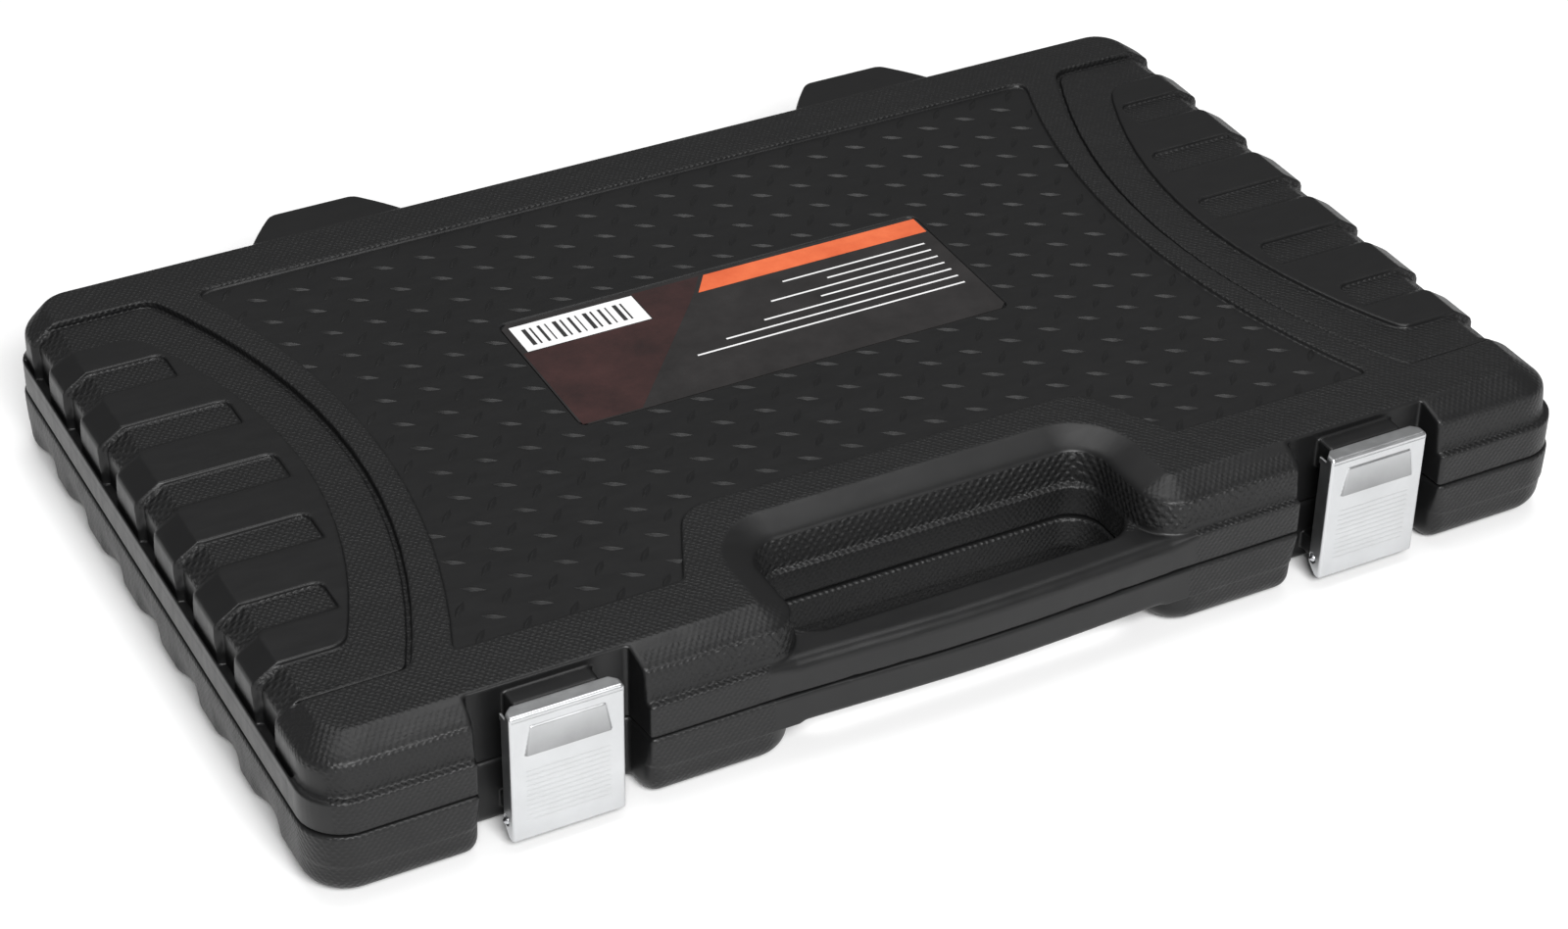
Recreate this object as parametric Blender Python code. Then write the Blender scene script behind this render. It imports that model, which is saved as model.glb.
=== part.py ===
"""A wrench set in a blow-moulded carry case.

The case is a base and a lid that meet at a seam, hinged behind on two steel pins and shut by two
steel latches in front. It holds thirteen flex-head ratcheting combination wrenches: four in the base
and nine in the lid. Lengths are in millimetres and become metres in to_mesh(). The case's middle is
at x = 0, y = 0 in case coordinates, and the case_frame empty moves the whole set so that the origin
is under the middle of its outer box.
"""

import math

import bmesh
import bpy
from mathutils import Matrix, Vector

MM = 0.001
GAP = 0.3

# Case, driving dimensions
LENGTH = 480.0
DEPTH = 295.0
HEIGHT = 55.8
SEAM = 26.3
CORNER = 18.0
FLANGE = 13.0
FRONT = -150.0
BACK = 166.0

HALF_X = LENGTH / 2
HALF_Y = DEPTH / 2
BASE_TOP = SEAM - GAP / 2
LID_BOTTOM = SEAM + GAP / 2
LID_STEP = SEAM + FLANGE
BASE_STEP = SEAM - FLANGE

# Lid above its flange
STEP_END = 2.6
STEP_FRONT = 2.8
STEP_BACK = 1.2
FRONT_LEAN = 1.2
CHAMFER_END = 9.1
CHAMFER_END_DROP = 5.8
CHAMFER_FRONT = 12.5
CHAMFER_FRONT_DROP = 4.2
CHAMFER_BACK = 0.8

# Hollow for the hand
GRIP_HALF = 90.0
GRIP_BOW = 2.5
GRIP_BOTTOM = 13.5
HAND_HALF = 65.5
HAND_BACK = -102.0
HAND_FRONT = -135.0
HAND_CORNER = 12.0
NOTCH_BACK = -99.0
NOTCH_HALF = 67.0
NOTCH_CORNER = 12.0
NOTCH_FLARE = 11.0
NOTCH_FLARE_LEAST = 0.4
NOTCH_CUT_ABOVE = 4.0

# Panel, label and ribbed ends of the lid
PANEL_FLOOR = HEIGHT - 1.4
PANEL_TOP_Y = 125.0
PANEL_BOTTOM_Y = -110.0
PANEL_CORNER_X = 176.0
PANEL_WAIST_X = 153.0
PANEL_RISE_Y = -74.0
PANEL_RISE_FOOT = 95.0
PANEL_RISE_HEAD = 72.0
LABEL_HALF = 86.0
LABEL_LOW_Y = -14.0
LABEL_HIGH_Y = 57.0
LABEL_FLOOR = PANEL_FLOOR - 1.0
LABEL_THICK = 0.4
END_FLOOR = HEIGHT - 1.5
END_MID_Y = 7.5
END_HIGH_Y = 127.0
END_LOW_Y = -112.0
END_ARC_WAIST = 163.0
END_ARC_TIP = 192.0
PAD_HIGH_Y = 107.0
PAD_LOW_Y = -92.0
PAD_ARC_WAIST = 180.0
PAD_ARC_TIP = 205.0
RIB_PITCH = 37.4
POCKET_WIDE = 18.5
POCKET_DEEP = 2.8
POCKET_STARTS = (200.0, 190.0, 187.0, 190.0, 200.0)

# Latches
LATCH_X = 154.5
LATCH_WIDE = 40.0
LATCH_LOW = 4.0
LATCH_HIGH = 54.0
LATCH_FRONT = -149.6
LATCH_BACK = -141.0
SHEET = 1.0
RECESS_HALF = 28.5
RECESS_FLARE = 2.0
RECESS_BACK = -133.0
LATCH_PIN_Y = -144.0
LATCH_PIN_Z = 10.0
LATCH_PIN_R = 1.5
BOSS_HALF = 17.0
BOSS_R = 3.6

# Hinges
HINGE_X = 114.5
HINGE_Y = 157.0
HINGE_PIN_R = 1.6
HINGE_PIN_HALF = 18.5
KNUCKLE_R = 5.0
KNUCKLE_HALF = 8.5
KNUCKLE_END = 18.5
LUG_FOOT_HALF = 30.0
LUG_TOP_HALF = 22.0
LUG_TOP = 54.5
LUG_BOTTOM = SEAM + KNUCKLE_R + 0.5

# Wrenches: size of the jaws and overall length
LENGTHS = {8: 140, 10: 158, 12: 171, 13: 178, 14: 190, 15: 199, 17: 225, 19: 247, 22: 290, 24: 325,
           27: 350, 30: 385, 32: 405}
BASE_ROWS = ((32,), (30,), (27,), (24,))
LID_ROWS = ((22, 8), (19, 12), (17, 14), (15, 13), (10,))
BASE_ROW_GAP = 3.0
LID_ROW_GAP = 8.0
BASE_FIRST_Y = 100.8
LID_FIRST_Y = 105.0
END_GAP = 6.0
LONE_X = -105.0
BASE_PLANE = 13.4
LID_PLANE = 37.5
POCKET_MARGIN = 0.5

# Troughs that let the fingers reach the wrenches
BASE_WELLS = ((0.0, 32.0),)
LID_WELLS = ((-105.0, 22.0), (122.0, 22.0))
WELL_LOW_Y = -86.0
WELL_HIGH_Y = 121.0
BASE_WELL_FLOOR = 5.5
LID_WELL_FLOOR = 45.5

ROUND = 14


# ---------------------------------------------------------------- scene and materials

def clear_scene():
    for obj in list(bpy.data.objects):
        bpy.data.objects.remove(obj)


def make_material(name, colour, roughness, metallic):
    material = bpy.data.materials.new(name)
    material.use_nodes = True
    shader = material.node_tree.nodes["Principled BSDF"]
    shader.inputs["Base Color"].default_value = (*colour, 1.0)
    shader.inputs["Roughness"].default_value = roughness
    shader.inputs["Metallic"].default_value = metallic
    return material


def to_mesh(bm, name):
    """Turns a bmesh in millimetres into a mesh in metres with its faces pointing out."""
    bmesh.ops.recalc_face_normals(bm, faces=bm.faces)
    bmesh.ops.scale(bm, vec=(MM, MM, MM), verts=bm.verts)
    mesh = bpy.data.meshes.new(name)
    bm.to_mesh(mesh)
    bm.free()
    return mesh


def add_object(name, bm, parent, material=None, at=(0.0, 0.0, 0.0)):
    """One object from a bmesh around its own origin, placed at a point in its parent's frame."""
    obj = bpy.data.objects.new(name, to_mesh(bm, name))
    bpy.context.collection.objects.link(obj)
    obj.parent = parent
    obj.location = Vector(at) * MM
    if material is not None:
        obj.data.materials.append(material)
    return obj


def add_helper(name, bm, parent, at=(0.0, 0.0, 0.0)):
    """A cutter or an addition, which is no piece itself."""
    obj = add_object(name, bm, parent, at=at)
    obj.hide_render = True
    obj.display_type = "WIRE"
    return obj


def combine(target, helper, operation):
    modifier = target.modifiers.new(helper.name, "BOOLEAN")
    modifier.operation = operation
    modifier.solver = "EXACT"
    modifier.object = helper


def smooth(obj, degrees=35.0):
    obj.data.shade_smooth()
    obj.data.set_sharp_from_angle(angle=math.radians(degrees))


def add_pivot(name, parent, at):
    pivot = bpy.data.objects.new(name, None)
    bpy.context.collection.objects.link(pivot)
    pivot.parent = parent
    pivot.location = Vector(at) * MM
    return pivot


# ---------------------------------------------------------------- outlines

def arc(centre, radius, start, end, steps):
    """Points of an arc from start to end degrees, both ends included."""
    points = []
    for i in range(steps + 1):
        angle = math.radians(start + (end - start) * i / steps)
        points.append((centre[0] + radius * math.cos(angle), centre[1] + radius * math.sin(angle)))
    return points


def circle(centre, radius, steps):
    return arc(centre, radius, 0.0, 360.0, steps)[:-1]


def arc_through(first, middle_x, last, steps):
    """Points from first to last on a parabola that reaches middle_x halfway."""
    points = []
    for i in range(steps + 1):
        t = i / steps
        straight = first[0] + (last[0] - first[0]) * t
        middle = (first[0] + last[0]) / 2
        points.append((straight + (middle_x - middle) * 4 * t * (1 - t), first[1] + (last[1] - first[1]) * t))
    return points


def rounded_box(x_low, x_high, y_low, y_high, radius, steps=3):
    points = []
    points += arc((x_high - radius, y_high - radius), radius, 0, 90, steps)
    points += arc((x_low + radius, y_high - radius), radius, 90, 180, steps)
    points += arc((x_low + radius, y_low + radius), radius, 180, 270, steps)
    points += arc((x_high - radius, y_low + radius), radius, 270, 360, steps)
    return points


def case_outline(half_x, front, back, radius, bow):
    """The case from above: a rounded box whose front bows out by bow over the grip."""
    points = []
    points += arc((half_x - radius, back - radius), radius, 0, 90, 4)
    points += arc((-half_x + radius, back - radius), radius, 90, 180, 4)
    points += arc((-half_x + radius, front + radius), radius, 180, 270, 4)
    for i in range(9):
        x = -GRIP_HALF + GRIP_HALF * i / 4
        points.append((x, front - bow * math.cos(math.pi * x / GRIP_HALF / 2) ** 2))
    points += arc((half_x - radius, front + radius), radius, 270, 360, 4)
    return points


def panel_outline():
    """The recessed panel: concave sides, and a rise around the hollow for the hand."""
    right = arc_through((PANEL_CORNER_X, PANEL_BOTTOM_Y), PANEL_WAIST_X, (PANEL_CORNER_X, PANEL_TOP_Y), 12)
    left = [(-x, y) for x, y in reversed(right)]
    shoulder = [(-PANEL_RISE_FOOT, PANEL_BOTTOM_Y), (-88, -93), (-80, -78), (-PANEL_RISE_HEAD, PANEL_RISE_Y)]
    return right + left + shoulder + [(-x, y) for x, y in reversed(shoulder)]


def end_band_outline():
    """The sunk band between the outer arc and the raised pad, drawn for the +X end."""
    outer = arc_through((END_ARC_TIP, END_LOW_Y), END_ARC_WAIST, (END_ARC_TIP, END_HIGH_Y), 10)
    inner = arc_through((PAD_ARC_TIP, PAD_HIGH_Y), PAD_ARC_WAIST, (PAD_ARC_TIP, PAD_LOW_Y), 10)
    return outer + [(PAD_ARC_TIP, END_HIGH_Y)] + inner + [(PAD_ARC_TIP, END_LOW_Y)]


# ---------------------------------------------------------------- solids

def add_prism(bm, outline, low, high):
    """Adds an upright prism over an outline."""
    bottom = [bm.verts.new((x, y, low)) for x, y in outline]
    top = [bm.verts.new((x, y, high)) for x, y in outline]
    bm.faces.new(list(reversed(bottom)))
    bm.faces.new(top)
    for i in range(len(outline)):
        j = (i + 1) % len(outline)
        bm.faces.new((bottom[i], bottom[j], top[j], top[i]))


def add_loft(bm, rings):
    """Adds a closed body through rings of (outline, height), its sides in triangles as they may be warped."""
    loops = [[bm.verts.new((x, y, z)) for x, y in outline] for outline, z in rings]
    bm.faces.new(list(reversed(loops[0])))
    bm.faces.new(loops[-1])
    for low, high in zip(loops, loops[1:]):
        for i in range(len(low)):
            j = (i + 1) % len(low)
            bm.faces.new((low[i], low[j], high[j]))
            bm.faces.new((low[i], high[j], high[i]))


def add_side_prism(bm, outline, x_low, x_high):
    """Adds a prism along X over an outline in (y, z)."""
    near = [bm.verts.new((x_low, y, z)) for y, z in outline]
    far = [bm.verts.new((x_high, y, z)) for y, z in outline]
    bm.faces.new(near)
    bm.faces.new(list(reversed(far)))
    for i in range(len(outline)):
        j = (i + 1) % len(outline)
        bm.faces.new((near[j], near[i], far[i], far[j]))


def add_end_prism(bm, outline, y_low, y_high):
    """Adds a prism along Y over an outline in (x, z)."""
    near = [bm.verts.new((x, y_low, z)) for x, z in outline]
    far = [bm.verts.new((x, y_high, z)) for x, z in outline]
    bm.faces.new(list(reversed(near)))
    bm.faces.new(far)
    for i in range(len(outline)):
        j = (i + 1) % len(outline)
        bm.faces.new((near[i], near[j], far[j], far[i]))


def add_block(bm, low, high):
    add_prism(bm, [(low[0], low[1]), (high[0], low[1]), (high[0], high[1]), (low[0], high[1])], low[2], high[2])


def mirrored(outline):
    return [(-x, y) for x, y in reversed(outline)]


def both_ends(bm, outline, low, high):
    add_prism(bm, outline, low, high)
    add_prism(bm, mirrored(outline), low, high)


def prism(outline, low, high):
    bm = bmesh.new()
    add_prism(bm, outline, low, high)
    return bm


def block(low, high):
    bm = bmesh.new()
    add_block(bm, low, high)
    return bm


# ---------------------------------------------------------------- wrenches

def wrench_sizes(size):
    """The dimensions of one wrench, from its jaw size."""
    return {
        "length": LENGTHS[size],
        "head_r": 0.81 * size + 3.5,
        "head_t": 0.42 * size + 4.2,
        "ring_r": 0.64 * size + 2.0,
        "jaw_r": 1.075 * size,
        "jaw_t": 0.30 * size + 2.6,
        "shank_w": 0.55 * size + 4.5,
        "shank_t": 0.20 * size + 2.2,
        "tongue_w": 0.36 * size + 2.4,
        "tongue_t": 0.30 * size + 3.0,
        "cheek": 0.14 * size + 1.6,
        "pin_r": 0.05 * size + 0.7,
        "reach": 0.81 * size + 3.5 + 0.22 * size + 4.0,
    }


def fork_half(d):
    return d["tongue_w"] / 2 + GAP + d["cheek"]


def place_row(sizes, y, plane, half):
    """Places for the wrenches of one row: {size: (x of the jaw tip, y, z, direction of the head)}."""
    total = sum(LENGTHS[size] for size in sizes) + END_GAP * (len(sizes) - 1)
    middle = LONE_X if half == "lid" and len(sizes) == 1 else 0.0
    low = middle - total / 2
    places = {}
    for i, size in enumerate(sizes):
        high = low + LENGTHS[size]
        if i == 0:
            places[size] = (low, y, plane, 1)
        else:
            places[size] = (high, y, plane, -1)
        low = high + END_GAP
    return places


def half_height(sizes):
    """How far a row's widest head reaches from its middle line."""
    return max(max(wrench_sizes(size)["jaw_r"], wrench_sizes(size)["head_r"]) for size in sizes)


def base_places():
    """The base's four wrenches lie head to tail, so each row's pitch is a jaw beside a ring head."""
    places = {}
    y = BASE_FIRST_Y
    for i, (size,) in enumerate(BASE_ROWS):
        x, _, _, _ = place_row((size,), y, BASE_PLANE, "base")[size]
        turned = i % 2 == 1
        places[size] = (-x, y, BASE_PLANE, -1) if turned else (x, y, BASE_PLANE, 1)
        if i + 1 < len(BASE_ROWS):
            here = wrench_sizes(size)
            below = wrench_sizes(BASE_ROWS[i + 1][0])
            y -= max(here["jaw_r"] + below["head_r"], here["head_r"] + below["jaw_r"]) + BASE_ROW_GAP
    return places


def lid_places():
    places = {}
    y = LID_FIRST_Y
    for i, sizes in enumerate(LID_ROWS):
        places.update(place_row(sizes, y, LID_PLANE, "lid"))
        if i + 1 < len(LID_ROWS):
            y -= half_height(sizes) + half_height(LID_ROWS[i + 1]) + LID_ROW_GAP
    return places


def jaw_outline(size, d):
    """The open end: a round head with parallel jaws, turned by 15 degrees."""
    radius = d["jaw_r"]
    centre = radius
    half = size / 2
    mouth = math.degrees(math.asin(half / radius))
    points = arc((0.0, 0.0), radius, -180 + mouth, 180 - mouth, ROUND - 2)
    points += [(-0.25 * size, half), (0.1 * size, half * 0.5), (0.1 * size, -half * 0.5), (-0.25 * size, -half)]
    turn = math.radians(15)
    turned = []
    for x, y in points:
        turned.append((x * math.cos(turn) - y * math.sin(turn) + centre, x * math.sin(turn) + y * math.cos(turn)))
    return turned


def side_round(reach, half, low, turns):
    """An outline in (x, z) from x = low to a half-round end at x = reach."""
    points = [(low, -half)]
    points += arc((reach, 0.0), half, -90, 90, turns)
    points.append((low, half))
    return points


def build_handle(name, size, d, parent, material):
    """The shank with its open end and the fork with the flex pin through it."""
    ring_x = d["length"] - d["head_r"]
    pivot_x = ring_x - d["reach"]
    fork_back = pivot_x - d["tongue_t"] / 2 - 2.0
    obj = add_object(name, prism(jaw_outline(size, d), -d["jaw_t"] / 2, d["jaw_t"] / 2), parent, material)
    half_w = d["shank_w"] / 2
    start = 1.6 * d["jaw_r"]
    bm = bmesh.new()
    rings = []
    for x, grow in ((start, 1.1), (fork_back, 1.0)):
        w = half_w * grow
        t = d["shank_t"] / 2
        rings.append(([(-0.8 * w, -t), (0.8 * w, -t), (w, 0.0), (0.8 * w, t), (-0.8 * w, t), (-w, 0.0)], x))
    add_loft(bm, rings)
    bmesh.ops.transform(bm, matrix=Matrix(((0, 0, 1, 0), (1, 0, 0, 0), (0, 1, 0, 0), (0, 0, 0, 1))), verts=bm.verts)
    combine(obj, add_helper(name + "_shank", bm, parent), "UNION")
    thick = d["tongue_t"] / 2
    root = block((fork_back - 3.0, -fork_half(d), -thick), (fork_back + 1.0, fork_half(d), thick))
    combine(obj, add_helper(name + "_root", root, parent), "UNION")
    cheeks = bmesh.new()
    side = side_round(pivot_x, d["tongue_t"] / 2, fork_back, 3)
    add_end_prism(cheeks, side, d["tongue_w"] / 2 + GAP, fork_half(d))
    add_end_prism(cheeks, side, -fork_half(d), -d["tongue_w"] / 2 - GAP)
    combine(obj, add_helper(name + "_cheeks", cheeks, parent), "UNION")
    pin = bmesh.new()
    add_end_prism(pin, circle((pivot_x, 0.0), d["pin_r"], 8), 0.4 - fork_half(d), fork_half(d) - 0.4)
    combine(obj, add_helper(name + "_pin", pin, parent), "UNION")
    smooth(obj)


def build_head(name, d, parent, material):
    """The flex head: a ring with a tongue that sits in the fork around its pin."""
    ring_x = d["length"] - d["head_r"]
    pivot_x = ring_x - d["reach"]
    half = d["tongue_t"] / 2
    body = prism(circle((ring_x, 0.0), d["head_r"], ROUND), -d["head_t"] / 2, d["head_t"] / 2)
    obj = add_object(name, body, parent, material)
    tongue = bmesh.new()
    side = [(2 * pivot_x - x, z) for x, z in side_round(pivot_x, half, 2 * pivot_x - ring_x, 3)]
    add_end_prism(tongue, side, -d["tongue_w"] / 2, d["tongue_w"] / 2)
    combine(obj, add_helper(name + "_tongue", tongue, parent), "UNION")
    bore = (d["ring_r"] + GAP) / math.cos(math.pi / ROUND)
    reach = d["head_t"]
    hole = prism(circle((ring_x, 0.0), bore, ROUND), -reach, reach)
    combine(obj, add_helper(name + "_bore", hole, parent), "DIFFERENCE")
    eye = bmesh.new()
    eye_r = (d["pin_r"] + GAP) / math.cos(math.pi / 8)
    add_end_prism(eye, circle((pivot_x, 0.0), eye_r, 8), -d["tongue_w"], d["tongue_w"])
    combine(obj, add_helper(name + "_eye", eye, parent), "DIFFERENCE")
    smooth(obj)


def build_ring(name, size, d, parent, material):
    """The ratchet ring with its twelve-point opening."""
    half = d["head_t"] / 2 - 0.6
    bm = bmesh.new()
    corners = []
    for radius, z in ((d["ring_r"], -half), (d["ring_r"], half), (0.545 * size, half), (0.545 * size, -half)):
        corners.append([bm.verts.new((x, y, z)) for x, y in circle((0.0, 0.0), radius, 12)])
    for here, there in zip(corners, corners[1:] + corners[:1]):
        for i in range(12):
            j = (i + 1) % 12
            bm.faces.new((here[i], here[j], there[j], there[i]))
    obj = add_object(name, bm, parent, material)
    smooth(obj)


def build_wrench(size, place, parent, steel, ring_steel):
    """One wrench on its own empty: +X runs from the jaw tip to the ring head."""
    d = wrench_sizes(size)
    x, y, z, direction = place
    tag = f"wrench_{size:02d}"
    frame = add_pivot(tag + "_frame", parent, (x, y, z))
    frame.rotation_euler = (0.0, 0.0, 0.0 if direction > 0 else math.pi)
    build_handle(tag + "_handle", size, d, frame, steel)
    build_head(tag + "_flex_head", d, frame, steel)
    spin = add_pivot(tag + "_ring_axis", frame, (d["length"] - d["head_r"], 0.0, 0.0))
    build_ring(tag + "_ratchet_ring", size, d, spin, ring_steel)


def pocket_cutters(places, seam_z, upward):
    """Two groups of cutters for one half: round pockets under the heads, and straight ones between."""
    heads = bmesh.new()
    shanks = bmesh.new()
    for size, (x, y, z, direction) in places.items():
        d = wrench_sizes(size)
        deep = d["head_t"] / 2 + POCKET_MARGIN
        low, high = (z - deep, seam_z) if upward else (seam_z, z + deep)
        ring_x = x + direction * (d["length"] - d["head_r"])
        jaw_x = x + direction * d["jaw_r"]
        add_prism(heads, circle((ring_x, y), d["head_r"] + POCKET_MARGIN + 0.4, ROUND), low, high)
        add_prism(heads, circle((jaw_x, y), d["jaw_r"] + POCKET_MARGIN + 0.4, ROUND), low, high)
        deep = d["tongue_t"] / 2 + POCKET_MARGIN
        low, high = (z - deep, seam_z) if upward else (seam_z, z + deep)
        x_low, x_high = sorted((jaw_x, ring_x))
        half = fork_half(d) + POCKET_MARGIN
        add_block(shanks, (x_low, y - half, low), (x_high, y + half, high))
    return heads, shanks


# ---------------------------------------------------------------- case halves

def cut_pockets(shell, name, places, wells, seam_z, upward, well_floor, frame):
    heads, shanks = pocket_cutters(places, seam_z, upward)
    combine(shell, add_helper(name + "_head_pockets", heads, frame), "DIFFERENCE")
    combine(shell, add_helper(name + "_shank_pockets", shanks, frame), "DIFFERENCE")
    troughs = bmesh.new()
    for x, half in wells:
        low, high = sorted((well_floor, seam_z))
        add_prism(troughs, rounded_box(x - half, x + half, WELL_LOW_Y, WELL_HIGH_Y, 10.0, 2), low, high)
    combine(shell, add_helper(name + "_wells", troughs, frame), "DIFFERENCE")


def recess_cutters(low, high):
    """The two front recesses that the latches stand in, a little wider in front."""
    bm = bmesh.new()
    for side in (-1, 1):
        x = side * LATCH_X
        add_prism(bm, [(x - RECESS_HALF, RECESS_BACK), (x - RECESS_HALF - RECESS_FLARE, FRONT - 5),
                       (x + RECESS_HALF + RECESS_FLARE, FRONT - 5), (x + RECESS_HALF, RECESS_BACK)], low, high)
    return bm


def hand_hole(low, high):
    return prism(rounded_box(-HAND_HALF, HAND_HALF, HAND_FRONT, HAND_BACK, HAND_CORNER), low, high)


def rib_edges():
    """The seven sunk strips between the ribs of an end, as (low y, high y)."""
    strips = [(END_MID_Y + RIB_PITCH * i - POCKET_WIDE / 2, END_MID_Y + RIB_PITCH * i + POCKET_WIDE / 2)
              for i in range(-2, 3)]
    return [(END_LOW_Y, PAD_LOW_Y), *strips, (PAD_HIGH_Y, END_HIGH_Y)]


def lid_rib_cutters():
    """Sunk strips that run over the top, the end chamfer and the end wall of the lid."""
    bm = bmesh.new()
    starts = (PAD_ARC_TIP, *POCKET_STARTS, PAD_ARC_TIP)
    wall = HALF_X - STEP_END - POCKET_DEEP
    crest = HALF_X - STEP_END - CHAMFER_END
    for (y_low, y_high), start in zip(rib_edges(), starts):
        side = [(start, END_FLOOR), (crest - 0.7, END_FLOOR), (wall, HEIGHT - CHAMFER_END_DROP - 0.8),
                (wall, LID_STEP + 0.2), (HALF_X + 5, LID_STEP + 0.2), (HALF_X + 5, HEIGHT + 5), (start, HEIGHT + 5)]
        add_end_prism(bm, side, y_low, y_high)
        add_end_prism(bm, mirrored(side), y_low, y_high)
    return bm


def base_rib_cutters():
    """The same strips on the base: its end wall under the flange and its lower edge."""
    bm = bmesh.new()
    for y_low, y_high in rib_edges():
        side = [(HALF_X - 16, -5), (HALF_X - 16, 1.5), (HALF_X - 6, 6), (HALF_X - 4.5, BASE_STEP - 0.5),
                (HALF_X + 5, BASE_STEP - 0.5), (HALF_X + 5, -5)]
        add_end_prism(bm, side, y_low, y_high)
        add_end_prism(bm, mirrored(side), y_low, y_high)
    return bm


def knuckle_outline(web):
    """A hinge knuckle in (y, z): round about the pin, with its web to the base wall or the lid lug."""
    if web == "base":
        return arc((HINGE_Y, SEAM), KNUCKLE_R, 270, 450, 8) + [
            (HINGE_Y - 3, SEAM + KNUCKLE_R - 1), (HINGE_Y - KNUCKLE_R, BASE_TOP - 0.2),
            (HALF_Y - 2, BASE_TOP - 0.2), (HALF_Y - 2, SEAM - 19), (HALF_Y, SEAM - 19)]
    return arc((HINGE_Y, SEAM), KNUCKLE_R, 180, 360, 8) + [
        (HINGE_Y + KNUCKLE_R, LUG_BOTTOM + 1), (HINGE_Y - KNUCKLE_R, LUG_BOTTOM + 1)]


def hinge_bores():
    bm = bmesh.new()
    radius = (HINGE_PIN_R + GAP) / math.cos(math.pi / 12)
    for side in (-1, 1):
        x = side * HINGE_X
        add_side_prism(bm, circle((HINGE_Y, SEAM), radius, 12), x - 30, x + 30)
    return bm


def build_base(frame, material):
    """The lower half: flange, rounded lower edge, latch bosses and the outer hinge knuckles."""
    rings = []
    for inset, z in ((8.5, 0.0), (5.0, 1.2), (2.6, 3.6), (1.2, 7.0), (0.6, BASE_STEP - 0.8)):
        outline = case_outline(HALF_X - inset, -HALF_Y + inset * 0.75, HALF_Y - inset * 0.75, CORNER - inset, 0.0)
        rings.append((outline, z))
    rings.append((case_outline(HALF_X, -HALF_Y, HALF_Y, CORNER, GRIP_BOW), BASE_STEP))
    rings.append((case_outline(HALF_X, -HALF_Y, HALF_Y, CORNER, GRIP_BOW), BASE_TOP))
    bm = bmesh.new()
    add_loft(bm, rings)
    shell = add_object("base_shell", bm, frame, material)
    arch = rounded_box(-HAND_HALF - 4, HAND_HALF + 4, FRONT - 30, HAND_BACK, HAND_CORNER)
    under_grip = prism(arch, -5, GRIP_BOTTOM)
    combine(shell, add_helper("base_under_grip", under_grip, frame), "DIFFERENCE")
    combine(shell, add_helper("base_hand_hole", hand_hole(-5, HEIGHT), frame), "DIFFERENCE")
    combine(shell, add_helper("base_latch_recesses", recess_cutters(-5, HEIGHT), frame), "DIFFERENCE")
    combine(shell, add_helper("base_ribs", base_rib_cutters(), frame), "DIFFERENCE")
    bosses = bmesh.new()
    nose = arc((LATCH_PIN_Y, LATCH_PIN_Z), BOSS_R, 90, 270, 6)
    profile = [*nose, (RECESS_BACK + 2, LATCH_PIN_Z - BOSS_R), (RECESS_BACK + 2, LATCH_PIN_Z + BOSS_R)]
    for side in (-1, 1):
        add_side_prism(bosses, profile, side * LATCH_X - BOSS_HALF, side * LATCH_X + BOSS_HALF)
    combine(shell, add_helper("base_latch_bosses", bosses, frame), "UNION")
    pin_bores = bmesh.new()
    bore = (LATCH_PIN_R + GAP) / math.cos(math.pi / 12)
    for side in (-1, 1):
        x = side * LATCH_X
        add_side_prism(pin_bores, circle((LATCH_PIN_Y, LATCH_PIN_Z), bore, 12), x - 22, x + 22)
    combine(shell, add_helper("base_latch_bores", pin_bores, frame), "DIFFERENCE")
    knuckles = bmesh.new()
    for side in (-1, 1):
        x = side * HINGE_X
        for low, high in ((-KNUCKLE_END, -KNUCKLE_HALF - GAP), (KNUCKLE_HALF + GAP, KNUCKLE_END)):
            add_side_prism(knuckles, knuckle_outline("base"), x + low, x + high)
    combine(shell, add_helper("base_knuckles", knuckles, frame), "UNION")
    combine(shell, add_helper("base_hinge_bores", hinge_bores(), frame), "DIFFERENCE")
    cut_pockets(shell, "base", base_places(), BASE_WELLS, HEIGHT, True, BASE_WELL_FLOOR, frame)
    return shell


def notch_outline(grow):
    """The dip of the lid around the hollow for the hand, flared in front; grow moves its wall into the lid."""
    half = NOTCH_HALF + grow
    back = NOTCH_BACK + grow
    front = -HALF_Y + STEP_FRONT + FRONT_LEAN
    flare = max(NOTCH_FLARE - grow, NOTCH_FLARE_LEAST)
    corner = NOTCH_CORNER + grow
    right = arc((half + flare, front + grow + flare), flare, 270, 180, 3) + arc(
        (half - corner, back - corner), corner, 0, 90, 4)
    right = [(half + flare, FRONT - 30), *right]
    return right + [(-x, y) for x, y in reversed(right)]


def lug_outline(half_foot, half_top, back):
    return [(-half_foot, HALF_Y - 4), (half_foot, HALF_Y - 4), (half_foot, HALF_Y + 1), (half_top, HALF_Y + 12),
            (half_top - 7, back), (-half_top + 7, back), (-half_top, HALF_Y + 12), (-half_foot, HALF_Y + 1)]


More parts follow.
